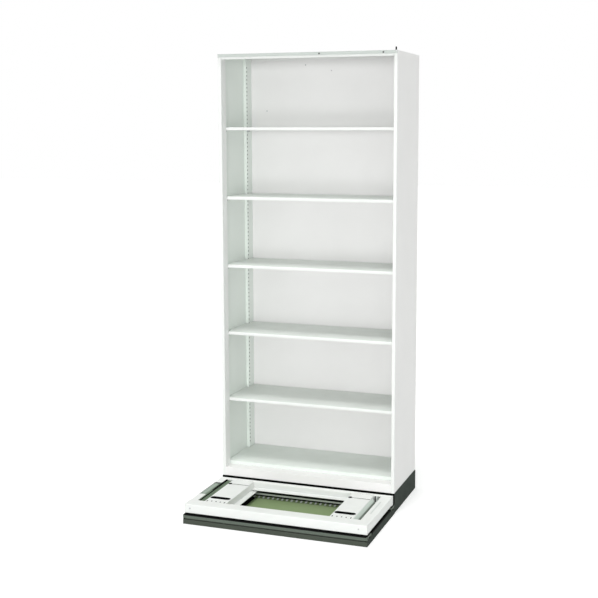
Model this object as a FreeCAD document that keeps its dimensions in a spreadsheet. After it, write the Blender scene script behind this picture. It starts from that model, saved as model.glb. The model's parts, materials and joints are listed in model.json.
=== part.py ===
"""Sliding double bookcase module: a fixed open bookcase on a plinth, with a low rail base and a carriage.

Millimetres. +Z up, the open front faces -Y, +X to the right. The origin is on the floor, at the centre
of the footprint. Every driving size is a named cell of the sheet "sizes"; each sub-part is bound to
those cells, so changing one cell moves everything that depends on it.
"""
import FreeCAD
import Part
import Sketcher
import math
import os

OUTPUT_FOLDER = "parts"
VECTOR = FreeCAD.Vector

# name, value in millimetres, what it is
DRIVING_SIZES = (
    ("case_width", 900.0, "outside width of the bookcase"),
    ("case_depth", 400.0, "outside depth of the bookcase"),
    ("case_height", 2100.0, "height of the bookcase above its plinth"),
    ("plinth_height", 100.0, "height of the plinth under the bookcase"),
    ("base_reach", 450.0, "how far the rail base runs forward of the bookcase"),
    ("base_overhang", 3.0, "how far plinth and base stand out at each side"),
    ("case_sheet", 1.2, "sheet of the bookcase"),
    ("case_bend", 0.8, "inside bend radius of the bookcase sheet"),
    ("base_sheet", 2.0, "sheet of plinth, base and carriage"),
    ("base_bend", 2.0, "inside bend radius of the base sheet"),
    ("seam", 0.3, "gap between sheets that meet"),
    ("front_post_face", 16.0, "visible width of a front post"),
    ("front_post_return", 55.0, "depth of a front post"),
    ("rear_post_width", 16.0, "how far a rear post stands in from the side"),
    ("rear_post_start", 307.0, "distance from the front to a rear post"),
    ("back_recess", 27.0, "depth of the back panel's edge flanges"),
    ("slot_pitch", 20.0, "pitch of the shelf slots"),
    ("slot_height", 8.0, "height of a shelf slot"),
    ("slot_length", 10.0, "width of a shelf slot"),
    ("slot_setback", 4.0, "land in front of a rear post's slots"),
    ("front_slot_inset", 2.5, "land beside a front post's slots"),
    ("top_face", 25.0, "height of the top panel's front flange"),
    ("toe_height", 44.0, "height of the fascia under the lowest compartment"),
    ("deck_face", 18.0, "height of the deck's front flange"),
    ("first_shelf", 376.0, "underside of the lowest shelf above the case bottom"),
    ("shelf_face", 15.0, "height of a shelf's front flange"),
    ("shelf_lip", 12.0, "width of a shelf's bottom lips"),
    ("shelf_front_gap", 2.0, "gap between a shelf and the front posts"),
    ("shelf_side_gap", 1.0, "gap between a shelf and a side panel"),
    ("clip_reach", 12.0, "length of a shelf clip's ledge"),
    ("clip_tail", 5.0, "length of a shelf clip inside its post"),
    ("clip_play", 0.3, "play of a shelf clip in its slot"),
    ("guide_height", 15.0, "height of the top guide rail"),
    ("guide_depth", 10.0, "how far the guide rail stands forward"),
    ("guide_sheet", 1.5, "wall of the guide rail"),
    ("guide_screw_middle", 70.0, "middle guide screw, right of the centre"),
    ("guide_screw_end", 67.0, "end guide screw, in from the right side"),
    ("stop_inset", 5.0, "end stop, in from the right side"),
    ("stop_rise", 15.0, "height of the end stop above the guide rail"),
    ("stop_radius", 3.5, "radius of the end stop's cap"),
    ("stop_pin_radius", 2.0, "radius of the end stop's pin"),
    ("kick_height", 22.0, "height of the base's front kick plate"),
    ("kick_return", 12.0, "depth of the kick plate's top return"),
    ("floor_level", 21.0, "top of the base floor"),
    ("base_side_height", 41.0, "height of the base's side walls"),
    ("base_side_hem", 12.0, "width of a base side's top hem"),
    ("rail_level", 45.0, "top of the rails"),
    ("rail_cap", 7.0, "thickness of a rail's cap"),
    ("rail_width", 46.0, "width of a rail's cap"),
    ("rail_leg", 3.0, "thickness of a rail's legs"),
    ("rail_leg_inset", 4.0, "how far a rail's legs stand in"),
    ("front_rail_nose", 17.0, "extra width of the front rail's nose"),
    ("front_rail_drop", 16.5, "height of the front rail's front edge"),
    ("front_rail_setback", 1.0, "front rail behind the kick plate's face"),
    ("rear_rail_setback", 4.0, "rear rail ahead of the plinth"),
    ("rail_window_pitch", 25.0, "pitch of the windows in the rear rail's leg"),
    ("rail_window_length", 12.0, "length of a window in the rear rail's leg"),
    ("rail_window_height", 12.0, "height of a window in the rear rail's leg"),
    ("rail_screw_inset", 11.0, "rail screws, in from the rail's inner edge"),
    ("rail_notch_play", 12.0, "gap between a rail and its notch"),
    ("plinth_flange", 25.0, "width of the plinth's flanges"),
    ("joist_width", 30.0, "width of a joist under the base floor"),
    ("foot_radius", 15.0, "radius of a levelling foot"),
    ("foot_height", 6.0, "height of a levelling foot's pad"),
    ("foot_stem_radius", 5.0, "radius of a levelling foot's stem"),
    ("foot_stem_length", 55.0, "length of a levelling foot's stem"),
    ("foot_inset", 60.0, "levelling foot, in from the plinth's walls"),
    ("bracket_level", 34.0, "height of a levelling bracket"),
    ("bracket_rise", 30.0, "height of a levelling bracket's upright"),
    ("bracket_width", 40.0, "width of a levelling bracket"),
    ("bracket_sheet", 3.0, "thickness of a levelling bracket"),
    ("foot_nut_radius", 9.0, "radius of a levelling foot's nut"),
    ("foot_nut_height", 8.0, "height of a levelling foot's nut"),
    ("carriage_gap", 5.0, "gap between the case bottom and the carriage top"),
    ("carriage_height", 44.0, "height of the carriage"),
    ("carriage_side_gap", 1.0, "carriage inside the case width, each side"),
    ("carriage_front_setback", 9.0, "carriage behind the base's front"),
    ("carriage_rear_gap", 14.0, "carriage ahead of the plinth"),
    ("front_flange", 64.0, "depth of the front beam's top flange"),
    ("beam_lip", 18.0, "width of the front beam's bottom lip"),
    ("rear_box", 25.0, "depth of the rear beam's box"),
    ("rear_lip", 34.0, "width of the rear beam's lower lip"),
    ("frame_drop", 30.0, "height of the inner walls of the carriage"),
    ("left_beam_width", 46.0, "width of the carriage's left side beam"),
    ("right_beam_width", 52.0, "width of the carriage's right side beam"),
    ("side_beam_lip", 12.0, "width of a side beam's bottom lip"),
    ("side_beam_hem", 10.0, "height of a side beam's inner hem"),
    ("cutout_inset", 3.0, "left beam's cut-out, in from the outside"),
    ("cutout_width", 32.0, "width of the left beam's cut-out"),
    ("cutout_length", 185.0, "length of the left beam's cut-out"),
    ("cutout_start", 101.0, "cut-out, ahead of the bookcase front"),
    ("groove_inset", 27.0, "right beam's groove, in from the outside"),
    ("groove_width", 8.0, "width of the right beam's groove"),
    ("groove_length", 170.0, "length of the right beam's groove"),
    ("groove_start", 117.0, "groove, ahead of the bookcase front"),
    ("member_width", 113.0, "width of a cross member's top"),
    ("member_flange", 29.0, "width of a cross member's bottom flange"),
    ("member_drop", 36.0, "depth of a cross member"),
    ("left_member_place", 129.5, "left cross member's centre, from the case's left side"),
    ("right_member_place", 144.5, "right cross member's centre, from the case's right side"),
    ("slot_opening", 98.0, "length of a cross member's oblong slot"),
    ("slot_opening_width", 25.0, "width of a cross member's oblong slot"),
    ("slot_opening_place", 315.0, "oblong slot, ahead of the bookcase front"),
    ("sight_hole_radius", 6.5, "radius of a cross member's round hole"),
    ("sight_hole_inset", 13.0, "round hole, in from the cross member's side"),
    ("sight_hole_place", 102.0, "round hole, ahead of the bookcase front"),
    ("relief_radius", 2.5, "radius of a cross member's corner reliefs"),
    ("relief_spacing", 90.0, "spacing of a cross member's corner reliefs"),
    ("cover_width", 92.0, "width of a cover plate"),
    ("cover_sheet", 1.5, "sheet of a cover plate"),
    ("cover_start", 103.0, "cover plate's front edge, ahead of the bookcase front"),
    ("wheel_radius", 20.0, "radius of a wheel"),
    ("wheel_width", 14.0, "width of a wheel"),
    ("wheel_chamfer", 1.0, "chamfer of a wheel's tread"),
    ("wheel_gap", 0.3, "gap between wheel and rail"),
    ("wheel_recess", 3.0, "depth of a wheel's recessed web"),
    ("wheel_rim", 5.0, "thickness of a wheel's rim"),
    ("hub_radius", 9.5, "radius of a wheel's hub"),
    ("axle_radius", 6.0, "radius of an axle"),
    ("axle_play", 0.05, "running clearance of an axle"),
    ("axle_overhang", 0.5, "axle end beyond its ring"),
    ("ring_thickness", 1.5, "thickness of an axle ring"),
    ("ring_radius", 8.5, "radius of an axle ring"),
    ("block_width", 30.0, "width of a bearing block"),
    ("block_thickness", 14.0, "thickness of a bearing block"),
    ("block_below", 11.0, "bearing block below the axle's centre"),
    ("block_inset", 16.0, "bearing block, in from the cross member's end"),
    ("axle_notch", 18.0, "width of the rear beam's notch for an axle"),
    ("fascia_screw_left", 29.0, "fascia screw, from the case's left side"),
    ("fascia_screw_right", 41.0, "fascia screw, from the case's right side"),
    ("fascia_screw_rise", 24.0, "fascia screws, above the carriage's bottom"),
    ("fascia_tab", 60.0, "width of the tabs behind the fascia"),
    ("tab_place", 83.0, "rear tab's left edge, from the case's right side"),
    ("tab_width", 18.0, "width of the rear tab"),
    ("tab_height", 18.0, "height of the rear tab"),
    ("tab_lip", 7.0, "how far the rear tab's ears stand forward"),
    ("tab_sheet", 2.0, "sheet of the rear tab"),
    ("screw_radius", 2.0, "shank radius of a small screw"),
    ("screw_head_radius", 4.0, "head radius of a small screw"),
    ("screw_head_height", 1.8, "head height of a small screw"),
    ("screw_play", 0.2, "play of a screw in its hole"),
    ("guide_screw_length", 5.1, "shank length of a guide screw"),
    ("fascia_screw_length", 8.0, "shank length of a fascia screw"),
    ("rail_screw_tail", 4.0, "rail screw's end, under the base floor's top"),
    ("bolt_radius", 4.0, "shank radius of a case bolt"),
    ("bolt_head_radius", 6.5, "head radius of a case bolt"),
    ("bolt_head_height", 5.0, "head height of a case bolt"),
    ("bolt_play", 0.5, "play of a case bolt in its hole"),
    ("bolt_tail", 8.0, "case bolt's end, under the case bottom"),
    ("bolt_spacing", 700.0, "spacing of the case bolts along the width"),
)

SHELF_COUNT = 5
SLOTS_PER_SHELF = 17
SLOTS_BELOW_FIRST_SHELF = 14
JOIST_COUNT = 3
RAIL_SCREW_COUNT = 4
SIDES = (("left", -1), ("right", 1))
HEX_CORNERS = 6
FULL_TURN = 360
TOUCH = 0.05
# a cut through a wall starts one thickness before it and ends one thickness after it
THROUGH = 3
# a cut past an edge runs this much further out
BEYOND = 1.1

document = FreeCAD.newDocument("SlidingDoubleBookcase")
sheet = document.addObject("Spreadsheet::Sheet", "sizes")
for row, (name, value, meaning) in enumerate(DRIVING_SIZES, start=1):
    sheet.set("A%d" % row, name)
    sheet.set("B%d" % row, str(value))
    sheet.set("C%d" % row, meaning)
    sheet.setAlias("B%d" % row, name)
document.recompute()


class Size:
    """A length that knows both its value and the sheet expression that it comes from."""

    def __init__(self, text, value):
        self.text = text
        self.value = value

    def _join(self, other, sign, value):
        return Size("(%s %s %s)" % (self.text, sign, other.text), value)

    def __add__(self, other):
        other = as_size(other)
        return self._join(other, "+", self.value + other.value)

    def __radd__(self, other):
        return as_size(other) + self

    def __sub__(self, other):
        other = as_size(other)
        return self._join(other, "-", self.value - other.value)

    def __rsub__(self, other):
        return as_size(other) - self

    def __mul__(self, other):
        other = as_size(other)
        return self._join(other, "*", self.value * other.value)

    def __rmul__(self, other):
        return as_size(other) * self

    def __truediv__(self, other):
        other = as_size(other)
        return self._join(other, "/", self.value / other.value)

    def __neg__(self):
        return as_size(0) - self


def as_size(number):
    if isinstance(number, Size):
        return number
    return Size("(%s)" % repr(float(number)), float(number))


def cell(name):
    return Size("sizes.%s" % name, float(getattr(sheet, name)))


def bind(thing, prop, size):
    thing.setExpression(prop, as_size(size).text)


subparts = []


def place(thing, x=0, y=0, z=0):
    """Set a sub-part's Placement from the sheet."""
    for axis, size in (("x", x), ("y", y), ("z", z)):
        bind(thing, "Placement.Base." + axis, size)
    return thing


def new_body(label, x=0, y=0, z=0):
    body = document.addObject("PartDesign::Body", label)
    body.Label = label
    place(body, x, y, z)
    subparts.append(body)
    return body


# --- sketches ---------------------------------------------------------------------------------------

def fix_point(sketch, geometry, end, x, y):
    """Hold one point of the sketch at x, y from the sketch's origin."""
    for kind, size in (("DistanceX", as_size(x)), ("DistanceY", as_size(y))):
        index = sketch.addConstraint(Sketcher.Constraint(kind, -1, 1, geometry, end, size.value))
        sketch.setExpression("Constraints[%d]" % index, size.text)


def draw_polygon(sketch, points):
    start = sketch.GeometryCount
    count = len(points)
    corners = [VECTOR(as_size(x).value, as_size(y).value, 0) for x, y in points]
    for i in range(count):
        sketch.addGeometry(Part.LineSegment(corners[i], corners[(i + 1) % count]), False)
    for i in range(count):
        following = start + (i + 1) % count
        sketch.addConstraint(Sketcher.Constraint("Coincident", start + i, 2, following, 1))
    for i in range(count):
        fix_point(sketch, start + i, 1, points[i][0], points[i][1])


def rectangle(x0, y0, x1, y1):
    return ("polygon", [(x0, y0), (x1, y0), (x1, y1), (x0, y1)])


def polygon(points):
    return ("polygon", points)


def circle(x, y, radius):
    return ("circle", x, y, radius)


def oblong(x, y, length, width):
    return ("oblong", x, y, length, width)


def draw_circle(sketch, x, y, radius):
    size = as_size(radius)
    centre = VECTOR(as_size(x).value, as_size(y).value, 0)
    index = sketch.addGeometry(Part.Circle(centre, VECTOR(0, 0, 1), size.value), False)
    fix_point(sketch, index, 3, x, y)
    constraint = sketch.addConstraint(Sketcher.Constraint("Radius", index, size.value))
    sketch.setExpression("Constraints[%d]" % constraint, size.text)


def draw_oblong(sketch, x, y, length, width):
    """A slot with round ends, along the sketch's X."""
    radius = as_size(width) / 2
    reach = as_size(length) / 2 - radius
    ends = []
    for side, start_angle in ((-1, math.pi / 2), (1, -math.pi / 2)):
        centre = VECTOR((x + reach * side).value, as_size(y).value, 0)
        rim = Part.Circle(centre, VECTOR(0, 0, 1), radius.value)
        arc = Part.ArcOfCircle(rim, start_angle, start_angle + math.pi)
        ends.append(sketch.addGeometry(arc, False))
    for side in (-1, 1):
        left = VECTOR((x - reach).value, (y + radius * side).value, 0)
        right = VECTOR((x + reach).value, (y + radius * side).value, 0)
        line = sketch.addGeometry(Part.LineSegment(left, right), False)
        fix_point(sketch, line, 1, x - reach, y + radius * side)
        fix_point(sketch, line, 2, x + reach, y + radius * side)
        left_end = 1 if side > 0 else 2
        right_end = 2 if side > 0 else 1
        sketch.addConstraint(Sketcher.Constraint("Coincident", ends[0], left_end, line, 1))
        sketch.addConstraint(Sketcher.Constraint("Coincident", ends[1], right_end, line, 2))
    for side, arc in ((-1, ends[0]), (1, ends[1])):
        size = x + reach * side
        index = sketch.addConstraint(Sketcher.Constraint("DistanceX", -1, 1, arc, 3, size.value))
        sketch.setExpression("Constraints[%d]" % index, size.text)


DRAW = {"polygon": draw_polygon, "circle": draw_circle, "oblong": draw_oblong}


def new_sketch(body, plane, level, outlines):
    """Sketch on a plane of the body: XY at z = level, XZ at y = level or YZ at x = level."""
    sketch = body.newObject("Sketcher::SketchObject", body.Label + "_sketch")
    origin_planes = [item for item in body.Origin.OriginFeatures if item.Role == plane + "_Plane"]
    sketch.AttachmentSupport = [(origin_planes[0], "")]
    sketch.MapMode = "FlatFace"
    offset = -as_size(level) if plane == "XZ" else as_size(level)
    bind(sketch, "AttachmentOffset.Base.z", offset)
    for outline in outlines:
        DRAW[outline[0]](sketch, *outline[1:])
    return sketch


def pad(body, plane, level, length, outlines):
    """Grow the outlines from level towards the plane's positive axis."""
    sketch = new_sketch(body, plane, level, outlines)
    feature = body.newObject("PartDesign::Pad", body.Label + "_pad")
    feature.Profile = sketch
    feature.Reversed = plane == "XZ"
    bind(feature, "Length", length)
    return feature


def pocket(body, plane, level, length, outlines):
    """Cut the outlines from level towards the plane's positive axis, and make sure that they cut."""
    document.recompute()
    before = body.Shape.Volume
    sketch = new_sketch(body, plane, level, outlines)
    feature = body.newObject("PartDesign::Pocket", body.Label + "_pocket")
    feature.Profile = sketch
    feature.Reversed = plane != "XZ"
    bind(feature, "Length", length)
    document.recompute()
    if not body.Shape.Volume < before:
        raise RuntimeError("a pocket of %s cut nothing" % body.Label)
    return feature


def pierce(body, plane, near, thickness, outlines):
    """Cut the outlines right through a wall that starts at near."""
    return pocket(body, plane, near - thickness, thickness * THROUGH, outlines)


def repeat(body, feature, axis, pitch, count):
    """Repeat a pocket along a sketch axis, one pitch at a time."""
    pattern = body.newObject("PartDesign::LinearPattern", body.Label + "_pattern")
    pattern.Originals = [feature]
    pattern.Direction = (feature.Profile[0], [axis])
    pattern.Occurrences = count
    bind(pattern, "Length", pitch * (count - 1))
    body.Tip = pattern
    return pattern


# --- folded sheet -----------------------------------------------------------------------------------

def sign_of(number):
    return (number > TOUCH) - (number < -TOUCH)


def fold(body, plane, level, length, path, thickness, bend):
    """Extrude a folded strip. The path is the sheet's face; its thickness lies to the path's left."""
    path = [(as_size(x), as_size(y)) for x, y in path]
    normals = []
    for (x0, y0), (x1, y1) in zip(path, path[1:]):
        normals.append((-sign_of(y1.value - y0.value), sign_of(x1.value - x0.value)))
    inner = []
    corners = []
    for i, (x, y) in enumerate(path):
        before = normals[max(i - 1, 0)]
        after = normals[min(i, len(normals) - 1)]
        shift = before if before == after else (before[0] + after[0], before[1] + after[1])
        point = (x + thickness * shift[0], y + thickness * shift[1])
        inner.append(point)
        if before != after:
            turn = before[0] * after[1] - before[1] * after[0]
            corners.append(((x, y), point) if turn > 0 else (point, (x, y)))
    feature = pad(body, plane, level, length, [polygon(path + inner[::-1])])
    round_edges(body, feature, plane, [outside for outside, inside in corners], bend + thickness)
    round_edges(body, body.Tip, plane, [inside for outside, inside in corners], bend)
    return feature


def round_edges(body, feature, plane, corners, radius):
    """Round the straight edges that run along the extrusion through the given corners."""
    document.recompute()
    spot = {
        "XY": lambda point: (point.x, point.y),
        "XZ": lambda point: (point.x, point.z),
        "YZ": lambda point: (point.y, point.z),
    }[plane]
    wanted = [(as_size(x).value, as_size(y).value) for x, y in corners]
    names = []
    for index, edge in enumerate(feature.Shape.Edges, start=1):
        ends = [spot(vertex.Point) for vertex in edge.Vertexes]
        if len(ends) != 2:
            continue
        for x, y in wanted:
            if all(abs(u - x) < TOUCH and abs(v - y) < TOUCH for u, v in ends):
                names.append("Edge%d" % index)
    if len(names) < len(wanted):
        raise RuntimeError("an edge to round is missing on %s" % body.Label)
    rounding = body.newObject("PartDesign::Fillet", body.Label + "_fillet")
    rounding.Base = (feature, names)
    bind(rounding, "Radius", radius)
    return rounding


# --- primitives -------------------------------------------------------------------------------------

def new_box(label, x, y, z, length, width, height):
    box = document.addObject("Part::Box", label)
    bind(box, "Length", length)
    bind(box, "Width", width)
    bind(box, "Height", height)
    return place(box, x, y, z)


DIRECTIONS = {
    "+Z": FreeCAD.Rotation(),
    "-Z": FreeCAD.Rotation(VECTOR(1, 0, 0), 180),
    "+Y": FreeCAD.Rotation(VECTOR(1, 0, 0), -90),
    "-Y": FreeCAD.Rotation(VECTOR(1, 0, 0), 90),
}


def new_cylinder(label, direction, x, y, z, radius, height):
    """A cylinder that starts at x, y, z and runs in the given direction."""
    cylinder = document.addObject("Part::Cylinder", label)
    bind(cylinder, "Radius", radius)
    bind(cylinder, "Height", height)
    cylinder.Placement = FreeCAD.Placement(VECTOR(), DIRECTIONS[direction])
    return place(cylinder, x, y, z)


def new_hexagon(label, direction, x, y, z, radius, height):
    prism = document.addObject("Part::Prism", label)
    prism.Polygon = HEX_CORNERS
    bind(prism, "Circumradius", radius)
    bind(prism, "Height", height)
    prism.Placement = FreeCAD.Placement(VECTOR(), DIRECTIONS[direction])
    return place(prism, x, y, z)


def join(label, pieces, x=0, y=0, z=0):
    """Fuse primitives into one sub-part; pieces that don't touch stay separate solids."""
    fused = document.addObject("Part::MultiFuse", label)
    fused.Label = label
    fused.Shapes = pieces
    place(fused, x, y, z)
    subparts.append(fused)
    return fused


def new_screw(label, direction, x, y, z, length):
    """A pan head at x, y, z with its shank running in the given direction."""
    step = {"+Y": (0, 1, 0), "-Y": (0, -1, 0), "-Z": (0, 0, -1)}[direction]
    head_height = cell("screw_head_height")
    seat = [start + head_height * part for start, part in zip((x, y, z), step)]
    return [
        new_cylinder(label + "_head", direction, x, y, z, cell("screw_head_radius"), head_height),
        new_cylinder(label + "_shank", direction, *seat, cell("screw_radius"), length),
    ]


# --- shared places ----------------------------------------------------------------------------------

case_width = cell("case_width")
case_depth = cell("case_depth")
case_height = cell("case_height")
plinth_height = cell("plinth_height")
base_reach = cell("base_reach")
case_sheet = cell("case_sheet")
base_sheet = cell("base_sheet")
seam = cell("seam")
half_case = case_width / 2
half_base = half_case + cell("base_overhang")
case_front = (base_reach - case_depth) / 2

post_inner = half_case - cell("front_post_face")
post_back = cell("front_post_return")
rear_post_inner = half_case - cell("rear_post_width")
rear_post_start = cell("rear_post_start")
back_face = case_depth - cell("back_recess")
deck_top = cell("toe_height") + cell("deck_face")
shelf_front = post_back + cell("shelf_front_gap")
shelf_back = back_face - cell("shelf_front_gap")
shelf_half = half_case - case_sheet - cell("shelf_side_gap")
shelf_step = cell("slot_pitch") * SLOTS_PER_SHELF
slot_height = cell("slot_height")
first_slot = cell("first_shelf") - slot_height - cell("slot_pitch") * SLOTS_BELOW_FIRST_SHELF
slot_space = (case_height - cell("top_face") - first_slot).value
slot_count = int(slot_space // cell("slot_pitch").value)
rear_slot = rear_post_start + cell("slot_setback")
front_slot_inner = post_inner + cell("front_slot_inset")

rail_level = cell("rail_level")
carriage_top = plinth_height - cell("carriage_gap")
carriage_bottom = carriage_top - cell("carriage_height")
carriage_half = half_case - cell("carriage_side_gap")
carriage_front = cell("carriage_front_setback") - base_reach
carriage_rear = -cell("carriage_rear_gap")
rear_web = carriage_rear - cell("rear_box")
member_front = carriage_front + cell("front_flange") + seam
member_back = rear_web - seam
frame_ledge = carriage_top - cell("frame_drop")
axle_level = rail_level + cell("wheel_gap") + cell("wheel_radius")
wheel_half = cell("wheel_width") / 2
rear_wheel = (carriage_rear + rear_web) / 2
front_rail_front = cell("front_rail_setback") - base_reach
front_rail_back = front_rail_front + cell("front_rail_nose") + cell("rail_width")
rear_rail_back = -cell("rear_rail_setback")
rear_rail_front = rear_rail_back - cell("rail_width")
front_wheel = front_rail_back - cell("rail_width") / 2
MEMBER_PLACES = {
    "left": cell("left_member_place") - half_case,
    "right": half_case - cell("right_member_place"),
}
BOLT_PLACES = (-cell("bolt_spacing") / 2, cell("bolt_spacing") / 2)

bolt_line = cell("plinth_flange") / 2
back_bolt_line = case_depth - bolt_line
guide_screw_places = (cell("guide_screw_middle"), half_case - cell("guide_screw_end"))
guide_screw_level = case_height - cell("guide_height") / 2
stop_place = half_case - cell("stop_inset")
stop_line = -(cell("guide_depth") + cell("guide_sheet")) / 2
rail_screw_row = [
    half_base * 2 * (number + 0.5) / RAIL_SCREW_COUNT - half_base for number in range(RAIL_SCREW_COUNT)]
front_screw_line = front_rail_back - cell("rail_screw_inset")
rear_screw_line = rear_rail_front + cell("rail_screw_inset")
rail_screw_places = [(x, y) for y in (front_screw_line, rear_screw_line) for x in rail_screw_row]
fascia_screw_row = [cell("fascia_screw_left") - half_case, half_case - cell("fascia_screw_right")]
fascia_screw_level = carriage_bottom + cell("fascia_screw_rise")


# --- bookcase ---------------------------------------------------------------------------------------

def case_body(label):
    """A body whose own origin is at the floor of the bookcase, in the middle of its front."""
    return new_body(label, 0, case_front, plinth_height)


def make_side_panel(side, sign):
    body = case_body("side_panel_" + side)
    outside = half_case * sign
    inside = outside - case_sheet * sign
    outline = rectangle(outside, case_sheet, inside, case_depth)
    pad(body, "XY", 0, case_height - case_sheet, [outline])


def make_front_post(side, sign):
    """A front post that covers the side panel's edge; its rear lip has slots for shelf clips."""
    body = case_body("front_post_" + side)
    outside = half_case * sign
    inside = post_inner * sign
    path = [
        (outside, as_size(0)),
        (inside, as_size(0)),
        (inside, post_back),
        (outside - (case_sheet + seam) * sign, post_back),
    ]
    if sign > 0:
        path = path[::-1]
    fold(body, "XY", 0, case_height - case_sheet, path, case_sheet, cell("case_bend"))
    slot = rectangle(
        front_slot_inner * sign, first_slot,
        (front_slot_inner + cell("slot_length")) * sign, first_slot + slot_height)
    cut = pierce(body, "XZ", post_back - case_sheet, case_sheet, [slot])
    repeat(body, cut, "V_Axis", cell("slot_pitch"), slot_count)


def make_rear_post(side, sign):
    """A channel against the side panel, slotted along its inner face."""
    body = case_body("rear_post_" + side)
    edge = (half_case - case_sheet) * sign
    inside = rear_post_inner * sign
    path = [
        (edge, rear_post_start),
        (inside, rear_post_start),
        (inside, case_depth),
        (edge, case_depth),
    ]
    if sign > 0:
        path = path[::-1]
    fold(body, "XY", 0, case_height - case_sheet, path, case_sheet, cell("case_bend"))
    slot = rectangle(rear_slot, first_slot, rear_slot + cell("slot_length"), first_slot + slot_height)
    near = inside if sign > 0 else inside - case_sheet
    cut = pierce(body, "YZ", near, case_sheet, [slot])
    repeat(body, cut, "V_Axis", cell("slot_pitch"), slot_count)


def make_back_panel():
    """A tray that is open to the rear, held between the rear posts."""
    body = case_body("back_panel")
    half = rear_post_inner - seam
    top = case_height - case_sheet
    pad(body, "XZ", back_face, case_depth - back_face, [rectangle(-half, 0, half, top)])
    hollow = rectangle(case_sheet - half, case_sheet, half - case_sheet, top - case_sheet)
    pocket(body, "XZ", back_face + case_sheet, case_depth, [hollow])
    holes = [circle(x, back_bolt_line, cell("bolt_radius") + cell("bolt_play")) for x in BOLT_PLACES]
    pierce(body, "XY", 0, case_sheet, holes)


def make_top_panel():
    body = case_body("top_panel")
    half = post_inner - seam
    pad(body, "XY", case_height - case_sheet, case_sheet,
        [rectangle(-half_case, 0, half_case, case_depth)])
    pad(body, "XY", case_height - cell("top_face"), cell("top_face") - case_sheet / 2,
        [rectangle(-half, 0, half, case_sheet)])
    holes = [
        circle(x, guide_screw_level, cell("screw_radius") + cell("screw_play"))
        for x in guide_screw_places]
    pierce(body, "XZ", 0, case_sheet, holes)


def make_toe_fascia():
    body = case_body("toe_fascia")
    half = post_inner - seam
    height = cell("toe_height")
    lip = bolt_line + cell("bolt_head_radius") + case_sheet
    path = [(shelf_front + case_sheet, height), (0, height), (0, 0), (lip, 0)]
    fold(body, "YZ", -half, half * 2, path, case_sheet, cell("case_bend"))
    holes = [circle(x, bolt_line, cell("bolt_radius") + cell("bolt_play")) for x in BOLT_PLACES]
    pierce(body, "XY", 0, case_sheet, holes)


def make_shelf(label, top, face):
    """A folded tray, open below, with its rear corners notched round the rear posts."""
    body = new_body(label, 0, case_front, plinth_height + top)
    lip = cell("shelf_lip")
    path = [
        (shelf_front + lip, -face),
        (shelf_front, -face),
        (shelf_front, as_size(0)),
        (shelf_back, as_size(0)),
        (shelf_back, -face),
        (shelf_back - lip, -face),
    ]
    fold(body, "YZ", -shelf_half, shelf_half * 2, path[::-1], case_sheet, cell("case_bend"))
    notch_front = rear_post_start - cell("shelf_front_gap")
    notch_side = rear_post_inner - cell("shelf_front_gap")
    notches = []
    flanges = []
    flange_front = shelf_front + case_sheet
    flange_back = shelf_back - case_sheet
    for side, sign in SIDES:
        notches.append(rectangle(
            shelf_half * sign * BEYOND, notch_front, notch_side * sign, shelf_back + case_sheet))
        flanges.append(polygon([
            (shelf_half * sign, flange_front),
            (shelf_half * sign, notch_front),
            (notch_side * sign, notch_front),
            (notch_side * sign, flange_back),
            ((notch_side - case_sheet) * sign, flange_back),
            ((notch_side - case_sheet) * sign, notch_front - case_sheet),
            ((shelf_half - case_sheet) * sign, notch_front - case_sheet),
            ((shelf_half - case_sheet) * sign, flange_front),
        ]))
    pocket(body, "XY", -face * 2, face * 3, notches)
    pad(body, "XY", -face, face - case_sheet / 2, flanges)


def make_shelf_clips():
    """Four clips to a shelf: each has a ledge under the shelf and a tail through its slot."""
    play = cell("clip_play")
    reach = cell("clip_reach")
    tail = cell("clip_tail")
    height = slot_height - play * 2
    width = cell("slot_length") - play * 2
    pieces = []
    for number in range(SHELF_COUNT):
        level = cell("first_shelf") + shelf_step * number - play - height
        for side, sign in SIDES:
            name = "clip_%d_%s" % (number + 1, side)
            near = (rear_post_inner + tail) * sign
            far = (rear_post_inner - reach) * sign
            start = near if sign < 0 else far
            pieces.append(new_box(name + "_rear", start, rear_slot + play, level,
                                  reach + tail, width, height))
            inner = front_slot_inner + play
            start = inner if sign > 0 else -inner - width
            pieces.append(new_box(name + "_front", start, post_back - tail, level,
                                  width, reach + tail, height))
    join("shelf_clips", pieces, 0, case_front, plinth_height)


def make_guide_rail():
    """A channel along the top front that holds the sliding bookcase upright: a back strip and two lips."""
    wall = cell("guide_sheet")
    bottom = case_height - cell("guide_height")
    play = cell("screw_play")
    back = case_body("guide_rail_back")
    pad(back, "XZ", -wall, wall, [rectangle(-half_case, bottom, half_case, case_height)])
    holes = [circle(x, guide_screw_level, cell("screw_radius") + play) for x in guide_screw_places]
    pierce(back, "XZ", -wall, wall, holes)
    lip = rectangle(-half_case, -cell("guide_depth"), half_case, -wall)
    for name, level in (("upper", case_height - wall), ("lower", bottom)):
        body = case_body("guide_rail_%s_lip" % name)
        pad(body, "XY", level, wall, [lip])
        if name == "upper":
            pin_hole = circle(stop_place, stop_line, cell("stop_pin_radius") + play)
            pierce(body, "XY", level, wall, [pin_hole])


def make_guide_screws():
    pieces = []
    seat = -cell("guide_sheet") - cell("screw_head_height")
    length = cell("guide_screw_length")
    for number, x in enumerate(guide_screw_places, start=1):
        pieces += new_screw("guide_screw_%d" % number, "+Y", x, seat, guide_screw_level, length)
    join("guide_rail_screws", pieces, 0, case_front, plinth_height)


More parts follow.
